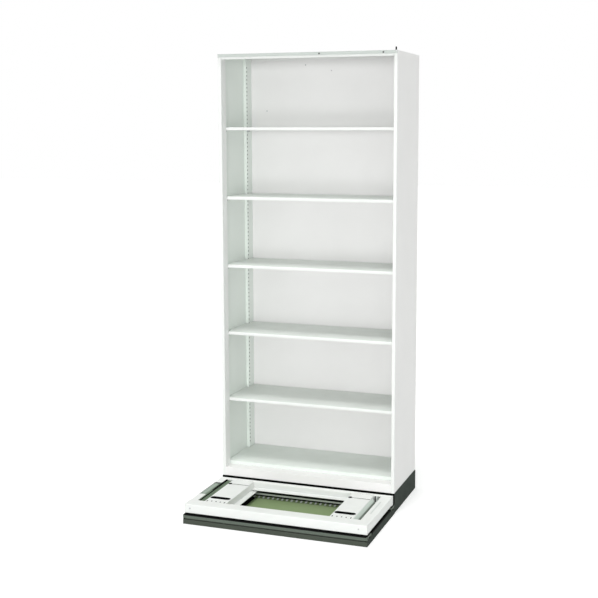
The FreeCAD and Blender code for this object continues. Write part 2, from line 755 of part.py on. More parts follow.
def make_end_stop():
    wall = cell("guide_sheet")
    radius = cell("stop_pin_radius")
    below = cell("guide_height") / 2
    head = cell("screw_head_height")
    rise = cell("stop_rise")
    stem = new_cylinder("stop_stem", "+Z", stop_place, stop_line, case_height - below,
                        radius, below + rise - head)
    nut = new_cylinder("stop_nut", "+Z", stop_place, stop_line, case_height - wall - head,
                       cell("stop_radius") - cell("screw_play"), head)
    join("end_stop_pin", [stem, nut], 0, case_front, plinth_height)
    body = case_body("end_stop_cap")
    pad(body, "XY", case_height, rise, [circle(stop_place, stop_line, cell("stop_radius"))])
    pocket(body, "XY", case_height - head, rise, [circle(stop_place, stop_line, radius + TOUCH)])


def make_case_bolts():
    """Hexagon bolts that hold the bookcase down on its plinth."""
    radius = cell("bolt_radius")
    below = cell("bolt_tail")
    pieces = []
    for y in (bolt_line, back_bolt_line):
        for x in BOLT_PLACES:
            name = "case_bolt_%d" % len(pieces)
            pieces.append(new_hexagon(name + "_head", "+Z", x, y, case_sheet,
                                      cell("bolt_head_radius"), cell("bolt_head_height")))
            pieces.append(new_cylinder(name + "_shank", "+Z", x, y, -below,
                                       radius, below + case_sheet))
    join("case_bolts", pieces, 0, case_front, plinth_height)


for side_name, side_sign in SIDES:
    make_side_panel(side_name, side_sign)
    make_front_post(side_name, side_sign)
    make_rear_post(side_name, side_sign)
make_back_panel()
make_top_panel()
make_toe_fascia()
make_shelf("deck_panel", deck_top, cell("deck_face"))
for shelf_number in range(SHELF_COUNT):
    shelf_top = cell("first_shelf") + shelf_step * shelf_number + cell("shelf_face")
    make_shelf("shelf_%d" % (shelf_number + 1), shelf_top, cell("shelf_face"))
make_shelf_clips()
make_guide_rail()
make_guide_screws()
make_end_stop()
make_case_bolts()


# --- plinth and rail base ---------------------------------------------------------------------------

def base_body(label):
    """A body whose own origin is on the floor, under the middle of the bookcase's front."""
    return new_body(label, 0, case_front, 0)


def make_plinth_side(side, sign):
    body = base_body("plinth_side_" + side)
    outside = half_base * sign
    inside = (half_base - cell("plinth_flange")) * sign
    path = [(inside, 0), (outside, 0), (outside, plinth_height), (inside, plinth_height)]
    if sign < 0:
        path = path[::-1]
    length = case_depth - base_sheet * 2
    fold(body, "XZ", base_sheet, length, path, base_sheet, cell("base_bend"))


def make_plinth_wall(label, face, sign):
    """A full-width wall whose top flange runs inward under the bookcase."""
    body = base_body(label)
    flange_end = face + cell("plinth_flange") * sign
    path = [(face, 0), (face, plinth_height), (flange_end, plinth_height)]
    if sign > 0:
        fold(body, "YZ", -half_base, half_base * 2, path[::-1], base_sheet, cell("base_bend"))
    else:
        fold(body, "YZ", -half_base, half_base * 2, path, base_sheet, cell("base_bend"))
    corner = half_base - cell("plinth_flange") - seam
    near = face + base_sheet * sign
    outlines = []
    for side, side_sign in SIDES:
        outlines.append(rectangle(
            corner * side_sign, near, half_base * BEYOND * side_sign, flange_end + base_sheet * sign))
    pocket(body, "XY", plinth_height / 2, plinth_height, outlines)
    line = face + bolt_line * sign
    holes = [circle(x, line, cell("bolt_radius") + cell("bolt_play")) for x in BOLT_PLACES]
    pierce(body, "XY", plinth_height - base_sheet, base_sheet, holes)


def make_base_floor():
    """The pan between the rails; its ends are folded down to the ground."""
    body = base_body("base_floor")
    half = half_base - base_sheet - seam
    front = cell("kick_return") + seam - base_reach
    level = cell("floor_level")
    path = [(front, 0), (front, level), (-seam, level), (-seam, 0)]
    fold(body, "YZ", -half, half * 2, path[::-1], base_sheet, cell("base_bend"))
    holes = [circle(x, y, cell("screw_radius") + cell("screw_play")) for x, y in rail_screw_places]
    pierce(body, "XY", level - base_sheet, base_sheet, holes)


def make_floor_joists():
    front = cell("kick_return") + base_sheet + cell("base_bend") + seam * 2 - base_reach
    back = -base_sheet - cell("base_bend") - seam * 2
    width = cell("joist_width")
    height = cell("floor_level") - base_sheet
    pieces = []
    for number in range(JOIST_COUNT):
        x = half_base * 2 * (number + 1) / (JOIST_COUNT + 1) - half_base - width / 2
        name = "joist_%d" % (number + 1)
        outer = new_box(name + "_outer", x, front, 0, width, back - front, height)
        inner = new_box(name + "_inner", x + base_sheet, front - base_sheet, -base_sheet,
                        width - base_sheet * 2, back - front + base_sheet * 2, height)
        channel = document.addObject("Part::Cut", name)
        channel.Base = outer
        channel.Tool = inner
        pieces.append(channel)
    join("floor_joists", pieces, 0, case_front, 0)


def make_base_side(side, sign):
    body = base_body("base_side_" + side)
    outside = half_base * sign
    height = cell("base_side_height")
    hem = (half_base - cell("base_side_hem")) * sign
    path = [(outside, 0), (outside, height), (hem, height)]
    if sign < 0:
        path = path[::-1]
    front = base_sheet + seam - base_reach
    fold(body, "XZ", front, -front - seam, path, base_sheet, cell("base_bend"))
    level = rail_level - cell("front_rail_drop") - base_sheet / 2
    play = cell("rail_notch_play")
    notches = [
        rectangle(front - base_sheet, level, front_rail_back + play, rail_level),
        rectangle(rear_rail_front - play, level, 0, rail_level),
    ]
    near = half_base - cell("base_side_hem") if sign > 0 else -half_base
    pierce(body, "YZ", near, cell("base_side_hem"), notches)


def make_front_kick():
    body = base_body("front_kick")
    height = cell("kick_height")
    path = [(-base_reach, 0), (-base_reach, height), (cell("kick_return") - base_reach, height)]
    fold(body, "YZ", -half_base, half_base * 2, path[::-1], base_sheet, cell("base_bend"))
    pocket(body, "XY", height / 2, height, end_strips(base_sheet - base_reach, 0))


def end_strips(front, back):
    """Outlines over both side walls, for what stops short of them."""
    inner = half_base - base_sheet - seam
    return [rectangle(inner * sign, front, half_base * BEYOND * sign, back) for side, sign in SIDES]


def rail_outline(front, back, nose):
    """A cap on two legs; the nose holds the extra points of a front edge that hangs lower."""
    top = rail_level
    under = top - cell("rail_cap")
    foot = cell("floor_level")
    leg = cell("rail_leg")
    inset = cell("rail_leg_inset")
    front_leg = back - cell("rail_width") + inset
    back_leg = back - inset
    return [(front, top)] + nose + [
        (front_leg, under), (front_leg, foot), (front_leg + leg, foot), (front_leg + leg, under),
        (back_leg - leg, under), (back_leg - leg, foot), (back_leg, foot), (back_leg, under),
        (back, under), (back, top),
    ]


def make_rail(label, front, back, nose, screw_line):
    """A rail across the base, with screw heads sunk into its cap beside the wheels' track."""
    body = base_body(label)
    points = rail_outline(front, back, nose)
    feature = pad(body, "YZ", -half_base, half_base * 2, [polygon(points)])
    edges = [(front, rail_level), (back, rail_level)]
    round_edges(body, feature, "YZ", edges, cell("rail_leg") / 2)
    play = cell("screw_play")
    head = cell("screw_head_height")
    holes = [circle(x, screw_line, cell("screw_radius") + play) for x in rail_screw_row]
    sinks = [circle(x, screw_line, cell("screw_head_radius") + play) for x in rail_screw_row]
    pierce(body, "XY", rail_level - cell("rail_cap"), cell("rail_cap"), holes)
    pocket(body, "XY", rail_level - head, head * 2, sinks)
    foot = cell("floor_level")
    leg_height = rail_level - cell("front_rail_drop") - foot
    pocket(body, "XY", foot, leg_height, end_strips(front, back))
    return body


def make_front_rail():
    leg = cell("rail_leg")
    low = rail_level - cell("front_rail_drop")
    under = rail_level - cell("rail_cap")
    inside = front_rail_front + leg
    nose = [(front_rail_front, low), (inside, low), (inside, under)]
    make_rail("front_rail", front_rail_front, front_rail_back, nose, front_screw_line)


def make_rear_rail():
    """The rear rail's front leg has a row of windows."""
    under = rail_level - cell("rail_cap")
    nose = [(rear_rail_front, under)]
    body = make_rail("rear_rail", rear_rail_front, rear_rail_back, nose, rear_screw_line)
    leg = cell("rail_leg")
    pitch = cell("rail_window_pitch")
    length = cell("rail_window_length")
    height = cell("rail_window_height")
    level = (cell("floor_level") + under - height) / 2
    start = half_base - pitch
    window = rectangle(-start, level, length - start, level + height)
    front_leg = rear_rail_front + cell("rail_leg_inset")
    cut = pierce(body, "XZ", front_leg, leg, [window])
    count = int((start * 2).value // pitch.value)
    repeat(body, cut, "H_Axis", pitch, count)


def make_rail_screws():
    """Long screws that hold the rails down on the base floor."""
    head = cell("screw_head_height")
    length = rail_level - head - cell("floor_level") + cell("rail_screw_tail")
    pieces = []
    for y in (front_screw_line, rear_screw_line):
        for x in rail_screw_row:
            name = "rail_screw_%d" % len(pieces)
            pieces += new_screw(name, "-Z", x, y, rail_level, length)
    join("rail_screws", pieces, 0, case_front, 0)


def make_levelling():
    """Screw feet in the plinth's corners, each in a bracket on a side wall."""
    inset = cell("foot_inset")
    level = cell("bracket_level")
    stem = cell("foot_stem_radius")
    pad_height = cell("foot_height")
    wall = cell("bracket_sheet")
    half = cell("bracket_width") / 2
    nut = cell("foot_nut_height")
    feet = []
    brackets = []
    for side, sign in SIDES:
        x = (half_base - inset) * sign
        inner = half_base - base_sheet
        reach = inset - base_sheet + half
        for y in (inset, case_depth - inset):
            name = "%s_%d" % (side, len(feet))
            feet.append(new_cylinder("foot_" + name, "+Z", x, y, 0, cell("foot_radius"), pad_height))
            feet.append(new_cylinder("stem_" + name, "+Z", x, y, 0, stem, cell("foot_stem_length")))
            feet.append(new_hexagon("nut_" + name, "+Z", x, y, level - nut - seam,
                                    cell("foot_nut_radius"), nut))
            start = inner - reach if sign > 0 else -inner
            plate = new_box("plate_" + name, start, y - half, level, reach, half * 2, wall)
            start = inner - wall if sign > 0 else -inner
            upright = new_box("upright_" + name, start, y - half, level,
                              wall, half * 2, cell("bracket_rise"))
            hole = new_cylinder("hole_" + name, "+Z", x, y, level - wall,
                                stem + cell("screw_play"), wall * THROUGH)
            bracket = document.addObject("Part::MultiFuse", "bracket_" + name)
            bracket.Shapes = [plate, upright]
            drilled = document.addObject("Part::Cut", "drilled_" + name)
            drilled.Base = bracket
            drilled.Tool = hole
            brackets.append(drilled)
    join("levelling_feet", feet, 0, case_front, 0)
    join("levelling_brackets", brackets, 0, case_front, 0)


for side_name, side_sign in SIDES:
    make_plinth_side(side_name, side_sign)
    make_base_side(side_name, side_sign)
make_plinth_wall("plinth_front_wall", as_size(0), 1)
make_plinth_wall("plinth_rear_wall", case_depth, -1)
make_base_floor()
make_floor_joists()
make_front_kick()
make_front_rail()
make_rear_rail()
make_rail_screws()
make_levelling()


# --- carriage ---------------------------------------------------------------------------------------

def relief_circles(x):
    """Bend reliefs where the cross member at x meets the front beam."""
    half = cell("relief_spacing") / 2
    return [circle(x + half * sign, member_front, cell("relief_radius")) for side, sign in SIDES]


def make_carriage_front_beam():
    body = base_body("carriage_front_beam")
    back = carriage_front + cell("front_flange")
    path = [
        (back, carriage_top),
        (carriage_front, carriage_top),
        (carriage_front, carriage_bottom),
        (carriage_front + cell("beam_lip"), carriage_bottom),
    ]
    fold(body, "YZ", -carriage_half, carriage_half * 2, path, base_sheet, cell("base_bend"))
    for x in MEMBER_PLACES.values():
        pierce(body, "XY", carriage_top - base_sheet, base_sheet, relief_circles(x))
    play = cell("screw_play")
    holes = [circle(x, fascia_screw_level, cell("screw_radius") + play) for x in fascia_screw_row]
    pierce(body, "XZ", carriage_front, base_sheet, holes)


def make_carriage_rear_beam():
    """An inverted channel over the rear wheels, with a lip forward and notches for the axles."""
    body = base_body("carriage_rear_beam")
    half = carriage_half - base_sheet - seam
    path = [
        (carriage_rear, carriage_bottom),
        (carriage_rear, carriage_top),
        (rear_web, carriage_top),
        (rear_web, frame_ledge),
        (rear_web - cell("rear_lip"), frame_ledge),
    ]
    fold(body, "YZ", -half, half * 2, path, base_sheet, cell("base_bend"))
    notch = cell("axle_notch") / 2
    notches = []
    for x in MEMBER_PLACES.values():
        notches.append(rectangle(x - notch, carriage_bottom, x + notch, axle_level + notch))
    start = rear_web - cell("rear_lip") - base_sheet
    pocket(body, "XZ", start, rear_web - start + base_sheet * 2, notches)
    half = cell("member_width") / 2 + seam
    low = frame_ledge - base_sheet * 2
    high = frame_ledge + cell("base_bend") * 2
    lip_notches = [rectangle(x - half, low, x + half, high) for x in MEMBER_PLACES.values()]
    pocket(body, "XZ", start, rear_web - start, lip_notches)


def make_carriage_side(side, sign):
    """A side beam: outer wall, top flange and hems, with a tab behind the front beam's fascia."""
    body = base_body("carriage_side_" + side)
    width = cell(side + "_beam_width")
    outside = carriage_half * sign
    inside = (carriage_half - width) * sign
    path = [
        (inside, carriage_top - cell("side_beam_hem")),
        (inside, carriage_top),
        (outside, carriage_top),
        (outside, carriage_bottom),
        ((carriage_half - cell("side_beam_lip")) * sign, carriage_bottom),
    ]
    if sign > 0:
        path = path[::-1]
    length = member_back - member_front
    fold(body, "XZ", member_front, length, path, base_sheet, cell("base_bend"))
    cheek_front = carriage_front + base_sheet + cell("base_bend")
    cheek_top = carriage_top - base_sheet - seam
    inner = (carriage_half - base_sheet) * sign
    bottom = carriage_bottom + base_sheet + seam
    pad(body, "XY", bottom, cheek_top - bottom,
        [rectangle(outside, cheek_front, inner, member_front + base_sheet)])
    pad(body, "XY", carriage_bottom, cell("carriage_height"),
        [rectangle(outside, member_back - base_sheet, inner, carriage_rear)])
    pad(body, "XY", bottom, cheek_top - bottom,
        [rectangle(outside, cheek_front, (carriage_half - cell("fascia_tab")) * sign,
                   cheek_front + base_sheet)])
    play = cell("screw_play")
    screw_x = fascia_screw_row[0 if sign < 0 else 1]
    hole = circle(screw_x, fascia_screw_level, cell("screw_radius") + play)
    pierce(body, "XZ", cheek_front, base_sheet, [hole])
    return body


def make_left_carriage_side():
    body = make_carriage_side("left", -1)
    x = cell("cutout_inset") - carriage_half
    y = -cell("cutout_start")
    window = rectangle(x, y - cell("cutout_length"), x + cell("cutout_width"), y)
    pierce(body, "XY", carriage_top - base_sheet, base_sheet, [window])


def make_right_carriage_side():
    body = make_carriage_side("right", 1)
    x = carriage_half - cell("groove_inset")
    y = -cell("groove_start")
    groove = rectangle(x - cell("groove_width"), y - cell("groove_length"), x, y)
    depth = base_sheet / 2
    pocket(body, "XY", carriage_top - depth, depth * 2, [groove])


def make_cross_member(side):
    """A hat section under the front bookcase; the axle runs inside it."""
    body = base_body("cross_member_" + side)
    x = MEMBER_PLACES[side]
    half = cell("member_width") / 2
    foot = half + cell("member_flange")
    ledge = carriage_top - cell("member_drop")
    path = [
        (x + foot, ledge),
        (x + half, ledge),
        (x + half, carriage_top),
        (x - half, carriage_top),
        (x - half, ledge),
        (x - foot, ledge),
    ]
    length = member_back - member_front
    fold(body, "XZ", member_front, length, path, base_sheet, cell("base_bend"))
    cuts = [
        oblong(x, -cell("slot_opening_place"), cell("slot_opening"), cell("slot_opening_width")),
        circle(x - half + cell("sight_hole_inset"), -cell("sight_hole_place"),
               cell("sight_hole_radius")),
    ]
    pierce(body, "XY", carriage_top - base_sheet, base_sheet, cuts)
    pierce(body, "XY", carriage_top - base_sheet, base_sheet, relief_circles(x))


def make_cover_plate(side):
    """A plate on top of a cross member's rear end, flush with its right side."""
    width = cell("cover_width")
    left = MEMBER_PLACES[side] + cell("member_width") / 2 - width
    start = cell("cover_start")
    plate = new_box("cover_plate_" + side, left, case_front - start, carriage_top,
                    width, member_back + start, cell("cover_sheet"))
    plate.Label = "cover_plate_" + side
    subparts.append(plate)


def make_bearing_blocks(side):
    """Blocks under a cross member's top that carry an axle."""
    x = MEMBER_PLACES[side]
    width = cell("block_width")
    thickness = cell("block_thickness")
    inset = cell("block_inset")
    bottom = axle_level - cell("block_below")
    height = carriage_top - base_sheet - bottom
    for end, y in (("front", member_front + inset), ("rear", member_back - inset - thickness)):
        name = "bearing_block_%s_%s" % (side, end)
        block = new_box(name + "_blank", x - width / 2, y, bottom, width, thickness, height)
        bore = new_cylinder(name + "_bore", "+Y", x, y - thickness, axle_level,
                            cell("axle_radius") + cell("axle_play"), thickness * THROUGH)
        cut = document.addObject("Part::Cut", name)
        cut.Label = name
        cut.Base = block
        cut.Tool = bore
        place(cut, 0, case_front, 0)
        subparts.append(cut)


def make_fascia_screws():
    head = cell("screw_head_height")
    pieces = []
    for x in fascia_screw_row:
        name = "fascia_screw_%d" % len(pieces)
        pieces += new_screw(name, "+Y", x, carriage_front - head, fascia_screw_level,
                            cell("fascia_screw_length"))
    join("fascia_screws", pieces, 0, case_front, 0)


def make_rear_tab():
    """A small bracket on the rear beam's front web."""
    body = base_body("carriage_rear_tab")
    left = half_case - cell("tab_place")
    right = left + cell("tab_width")
    back = rear_web - seam
    front = back - cell("tab_lip")
    path = [(right, front), (right, back), (left, back), (left, front)]
    bottom = frame_ledge + cell("base_bend") + seam
    fold(body, "XY", bottom, cell("tab_height"), path, cell("tab_sheet"), cell("case_bend"))


def revolved_wheel(label, x, y):
    """A wheel about an axle along Y: rim, recessed web and hub."""
    body = new_body(label, x, y + case_front, axle_level)
    radius = cell("wheel_radius")
    rim = radius - cell("wheel_rim")
    hub = cell("hub_radius")
    bore = cell("axle_radius")
    web = wheel_half - cell("wheel_recess")
    chamfer = cell("wheel_chamfer")
    points = [
        (bore, -wheel_half), (hub, -wheel_half), (hub, -web), (rim, -web), (rim, -wheel_half),
        (radius - chamfer, -wheel_half), (radius, chamfer - wheel_half),
        (radius, wheel_half - chamfer), (radius - chamfer, wheel_half),
        (rim, wheel_half), (rim, web), (hub, web), (hub, wheel_half), (bore, wheel_half),
    ]
    sketch = new_sketch(body, "XY", 0, [polygon(points)])
    turned = body.newObject("PartDesign::Revolution", label + "_turned")
    turned.Profile = sketch
    turned.ReferenceAxis = (sketch, ["V_Axis"])
    turned.Angle = FULL_TURN


def make_wheelset(side):
    x = MEMBER_PLACES[side]
    for end, y in (("front", front_wheel), ("rear", rear_wheel)):
        revolved_wheel("wheel_%s_%s" % (side, end), x, y)
    ring = cell("ring_thickness")
    overhang = ring + cell("axle_overhang")
    start = front_wheel - wheel_half - overhang
    length = rear_wheel + wheel_half + overhang - start
    axle = new_cylinder("axle_" + side, "+Y", x, start + case_front, axle_level,
                        cell("axle_radius"), length)
    axle.Label = "axle_" + side
    subparts.append(axle)
    rings = []
    for end, y in (("front", front_wheel - wheel_half - ring), ("rear", rear_wheel + wheel_half)):
        name = "ring_%s_%s" % (side, end)
        disc = new_cylinder(name + "_disc", "+Y", x, y, axle_level, cell("ring_radius"), ring)
        hole = new_cylinder(name + "_hole", "+Y", x, y - ring, axle_level,
                            cell("axle_radius"), ring * THROUGH)
        washer = document.addObject("Part::Cut", name)
        washer.Base = disc
        washer.Tool = hole
        rings.append(washer)
    join("axle_rings_" + side, rings, 0, case_front, 0)


make_carriage_front_beam()
make_carriage_rear_beam()
make_left_carriage_side()
make_right_carriage_side()
for member_side in MEMBER_PLACES:
    make_cross_member(member_side)
    make_cover_plate(member_side)
    make_bearing_blocks(member_side)
    make_wheelset(member_side)
make_fascia_screws()
make_rear_tab()


# --- check and write --------------------------------------------------------------------------------

document.recompute()
faults = []
for item in document.Objects:
    if "Invalid" in item.State or "Error" in item.State:
        faults.append("%s is in state %s" % (item.Name, item.State))
for item in subparts:
    if item.Shape.isNull() or not item.Shape.isValid() or not item.Shape.Solids:
        faults.append("%s has no valid solid" % item.Label)
if faults:
    raise RuntimeError("; ".join(faults))
os.makedirs(OUTPUT_FOLDER, exist_ok=True)
for item in subparts:
    item.Shape.exportStep("%s/%s.step" % (OUTPUT_FOLDER, item.Label))
print("wrote %d sub-parts" % len(subparts))
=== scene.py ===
"""Looks of the sliding double bookcase: camera, light, finishes and small parts round the model.

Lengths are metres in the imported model's frame.
"""

import json
import math

import bmesh
import bpy
from mathutils import Matrix, Vector


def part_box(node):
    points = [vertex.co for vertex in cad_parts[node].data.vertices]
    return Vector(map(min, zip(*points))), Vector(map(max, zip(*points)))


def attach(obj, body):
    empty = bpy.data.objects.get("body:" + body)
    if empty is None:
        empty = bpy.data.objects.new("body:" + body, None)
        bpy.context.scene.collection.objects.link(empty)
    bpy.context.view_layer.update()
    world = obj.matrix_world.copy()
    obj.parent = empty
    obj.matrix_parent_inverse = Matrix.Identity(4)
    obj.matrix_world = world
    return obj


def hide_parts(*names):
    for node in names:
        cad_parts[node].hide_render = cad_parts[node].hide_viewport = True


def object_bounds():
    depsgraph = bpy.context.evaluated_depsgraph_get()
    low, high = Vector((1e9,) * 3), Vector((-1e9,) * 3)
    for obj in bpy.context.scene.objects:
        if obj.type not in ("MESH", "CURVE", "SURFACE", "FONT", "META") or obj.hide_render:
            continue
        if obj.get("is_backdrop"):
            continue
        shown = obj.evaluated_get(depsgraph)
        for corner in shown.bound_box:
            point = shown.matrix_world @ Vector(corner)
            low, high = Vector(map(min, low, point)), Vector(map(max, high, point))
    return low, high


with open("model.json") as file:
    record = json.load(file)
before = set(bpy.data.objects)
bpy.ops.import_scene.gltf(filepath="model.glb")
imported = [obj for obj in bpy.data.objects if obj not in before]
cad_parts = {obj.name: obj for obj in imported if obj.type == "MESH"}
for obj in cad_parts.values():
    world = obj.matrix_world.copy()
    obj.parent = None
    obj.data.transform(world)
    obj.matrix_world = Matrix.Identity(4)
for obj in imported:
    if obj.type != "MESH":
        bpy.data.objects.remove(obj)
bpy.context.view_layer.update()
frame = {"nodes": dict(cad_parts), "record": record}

nodes = frame["nodes"]
scene = bpy.context.scene


# --- view ------------------------------------------------------------------------------------

image_size = 598
focal_pixels = 1085.03
sensor_width = 36.0
camera_yaw = math.radians(-18.994)
camera_pitch = math.radians(7.620)
camera_place = Vector((1.79478, -4.84558, 1.83820))

ahead = Vector((math.sin(camera_yaw) * math.cos(camera_pitch),
                math.cos(camera_yaw) * math.cos(camera_pitch),
                -math.sin(camera_pitch)))
right = Vector((math.cos(camera_yaw), -math.sin(camera_yaw), 0.0))
above = right.cross(ahead)

camera_data = bpy.data.cameras.new("camera")
camera_data.sensor_width = sensor_width
camera_data.lens = focal_pixels * sensor_width / image_size
camera_data.shift_x = -0.05
camera_data.shift_y = -0.04
camera_data.clip_start = 0.01
camera_data.clip_end = 100.0
camera = bpy.data.objects.new("camera", camera_data)
turn = Matrix((right, above, -ahead)).transposed().to_4x4()
camera.matrix_world = Matrix.Translation(camera_place) @ turn
scene.collection.objects.link(camera)
scene.camera = camera

scene.view_settings.view_transform = "Standard"


# --- node helpers ----------------------------------------------------------------------------

# cosine between a surface's normal and its rounded normal, where it is flat and where it is an edge
flat_cosine = 0.98
edge_cosine = 0.75
# upward share of a normal, where a surface starts to count as level and where it fully does
tilt_start = 0.7
tilt_full = 0.95


class Finish:
    """One node material: a principled shader and short calls that add and join nodes."""

    def __init__(self, name):
        self.material = bpy.data.materials.new(name)
        self.material.use_nodes = True
        self.tree = self.material.node_tree
        self.tree.nodes.clear()
        self.shader = self.tree.nodes.new("ShaderNodeBsdfPrincipled")
        output = self.tree.nodes.new("ShaderNodeOutputMaterial")
        self.tree.links.new(self.shader.outputs["BSDF"], output.inputs["Surface"])
        self.coordinates = self.tree.nodes.new("ShaderNodeTexCoord").outputs["Object"]
        self.facing = self.tree.nodes.new("ShaderNodeNewGeometry").outputs["Normal"]

    def feed(self, socket, value):
        """Joins a socket to an output, or sets it to a constant."""
        if isinstance(value, bpy.types.NodeSocket):
            self.tree.links.new(value, socket)
        else:
            socket.default_value = value

    def math(self, operation, first, second=0.0, clamp=False):
        node = self.tree.nodes.new("ShaderNodeMath")
        node.operation = operation
        node.use_clamp = clamp
        self.feed(node.inputs[0], first)
        self.feed(node.inputs[1], second)
        return node.outputs[0]

    def stretch(self, scale):
        """Object coordinates, scaled apart along the three axes."""
        node = self.tree.nodes.new("ShaderNodeMapping")
        self.feed(node.inputs["Vector"], self.coordinates)
        node.inputs["Scale"].default_value = scale
        return node.outputs[0]

    def noise(self, scale, detail=2.0, vector=None):
        node = self.tree.nodes.new("ShaderNodeTexNoise")
        self.feed(node.inputs["Vector"], vector or self.coordinates)
        node.inputs["Scale"].default_value = scale
        node.inputs["Detail"].default_value = detail
        return node.outputs["Fac"]

    def cells(self, scale):
        node = self.tree.nodes.new("ShaderNodeTexVoronoi")
        self.feed(node.inputs["Vector"], self.coordinates)
        node.inputs["Scale"].default_value = scale
        return node.outputs["Color"]

    def remap(self, value, low, high, new_low, new_high):
        """Maps low to high onto new_low to new_high, held at the ends."""
        node = self.tree.nodes.new("ShaderNodeMapRange")
        self.feed(node.inputs["Value"], value)
        node.inputs["From Min"].default_value = low
        node.inputs["From Max"].default_value = high
        node.inputs["To Min"].default_value = new_low
        node.inputs["To Max"].default_value = new_high
        return node.outputs[0]

    def mix(self, share, first, second, blend="MIX"):
        """Mixes two colours; inputs 6 and 7 and output 2 are the node's colour sockets."""
        node = self.tree.nodes.new("ShaderNodeMix")
        node.data_type = "RGBA"
        node.blend_type = blend
        self.feed(node.inputs["Factor"], share)
        self.feed(node.inputs[6], first)
        self.feed(node.inputs[7], second)
        return node.outputs[2]

    def grey(self, value):
        node = self.tree.nodes.new("ShaderNodeCombineColor")
        for channel in node.inputs:
            self.feed(channel, value)
        return node.outputs[0]

    def split(self, vector):
        node = self.tree.nodes.new("ShaderNodeSeparateXYZ")
        self.feed(node.inputs[0], vector)
        return node.outputs

    def rounded(self, radius):
        """The normal of the surface with its edges rounded off."""
        node = self.tree.nodes.new("ShaderNodeBevel")
        node.samples = 4
        node.inputs["Radius"].default_value = radius
        return node.outputs[0]

    def edges(self, rounded):
        """Near 1 along sharp edges and 0 away from them."""
        node = self.tree.nodes.new("ShaderNodeVectorMath")
        node.operation = "DOT_PRODUCT"
        self.feed(node.inputs[0], rounded)
        self.feed(node.inputs[1], self.facing)
        return self.remap(node.outputs["Value"], flat_cosine, edge_cosine, 0.0, 1.0)

    def bump(self, height, distance, normal):
        node = self.tree.nodes.new("ShaderNodeBump")
        node.inputs["Strength"].default_value = 1.0
        node.inputs["Distance"].default_value = distance
        self.feed(node.inputs["Height"], height)
        self.feed(node.inputs["Normal"], normal)
        return node.outputs[0]

    def upward(self):
        """1 on surfaces that face up, where dust settles and where a top colour paints shade."""
        return self.remap(self.split(self.facing)["Z"], tilt_start, tilt_full, 0.0, 1.0)

    def downward(self):
        """1 on surfaces that face down, where a below colour paints shade."""
        return self.remap(self.split(self.facing)["Z"], -tilt_full, -tilt_start, 1.0, 0.0)


def rgb(red, green, blue):
    return (red, green, blue, 1.0)


dust_colour = rgb(0.42, 0.40, 0.36)
dust_roughness = 0.18
track_polish = 0.25
shade_rim_blur = 0.0004
wave_height = 0.0006


def powder_coat(name, colour, worn, roughness=0.42, dust=0.10, wear=0.35, peel=0.00003,
                streaks=None, top=None, below=None, rim=None, fade=None, gloss=0.45):
    """Baked powder coat on sheet metal: orange peel, soft tone changes, dust on top, rubbed edges.

    A colour for top or below is laid over what faces straight up or down; a rim is a height and
    the colour from there up; a fade is a stretch along x and the colour at its end. The script
    uses all four to paint shade: darker tops, undersides and rims, and tinted shaded faces.
    """
    paint = Finish(name)
    rounded = paint.rounded(radius=0.0008)
    # top and below lay painted shade on what faces up or down
    if top:
        colour = paint.mix(paint.upward(), colour, top)
    if below:
        colour = paint.mix(paint.downward(), colour, below)
    # a fade tints the colour along x towards another: painted shade
    if fade:
        along = paint.split(paint.coordinates)["X"]
        colour = paint.mix(paint.remap(along, fade[0], fade[1], 0.0, 1.0), colour, fade[2])
    # a rim darkens everything above a height: painted shade
    if rim:
        height = paint.split(paint.coordinates)["Z"]
        in_shade_rim = paint.remap(height, rim[0] - shade_rim_blur, rim[0] + shade_rim_blur, 0.0, 1.0)
        colour = paint.mix(in_shade_rim, colour, rim[1])
    tone = paint.remap(paint.noise(scale=3.0, detail=3.0), 0.3, 0.7, 0.975, 1.015)
    base = paint.mix(1.0, colour, paint.grey(tone), "MULTIPLY")
    patches = paint.remap(paint.noise(scale=11.0, detail=6.0), 0.35, 0.75, 0.2, 1.0)
    settled = paint.math("MULTIPLY", paint.upward(), patches)
    base = paint.mix(paint.math("MULTIPLY", settled, dust), base, dust_colour)
    chips = paint.remap(paint.noise(scale=70.0, detail=5.0), 0.48, 0.70, 0.0, wear)
    rubbed = paint.math("MULTIPLY", paint.edges(rounded), chips)
    base = paint.mix(rubbed, base, worn)
    rough = paint.remap(paint.noise(scale=24.0, detail=4.0), 0.3, 0.7,
                        roughness - 0.05, roughness + 0.06)
    dusted = paint.math("MULTIPLY", settled, dust_roughness)
    rough = paint.math("ADD", rough, dusted, clamp=True)
    if streaks:
        lines = paint.noise(scale=1.0, detail=5.0, vector=paint.stretch(streaks))
        track = paint.remap(lines, 0.55, 0.75, 0.0, 0.25)
        track = paint.math("MULTIPLY", track, paint.upward())
        base = paint.mix(track, base, worn)
        polished = paint.math("MULTIPLY", track, track_polish)
        rough = paint.math("SUBTRACT", rough, polished, clamp=True)
    paint.feed(paint.shader.inputs["Base Color"], base)
    paint.feed(paint.shader.inputs["Roughness"], rough)
    skin = paint.bump(paint.noise(scale=650.0, detail=2.0), peel, rounded)
    wave = paint.bump(paint.noise(scale=5.0, detail=1.0), wave_height, skin)
    paint.feed(paint.shader.inputs["Normal"], wave)
    paint.shader.inputs["Specular IOR Level"].default_value = gloss
    return paint.material


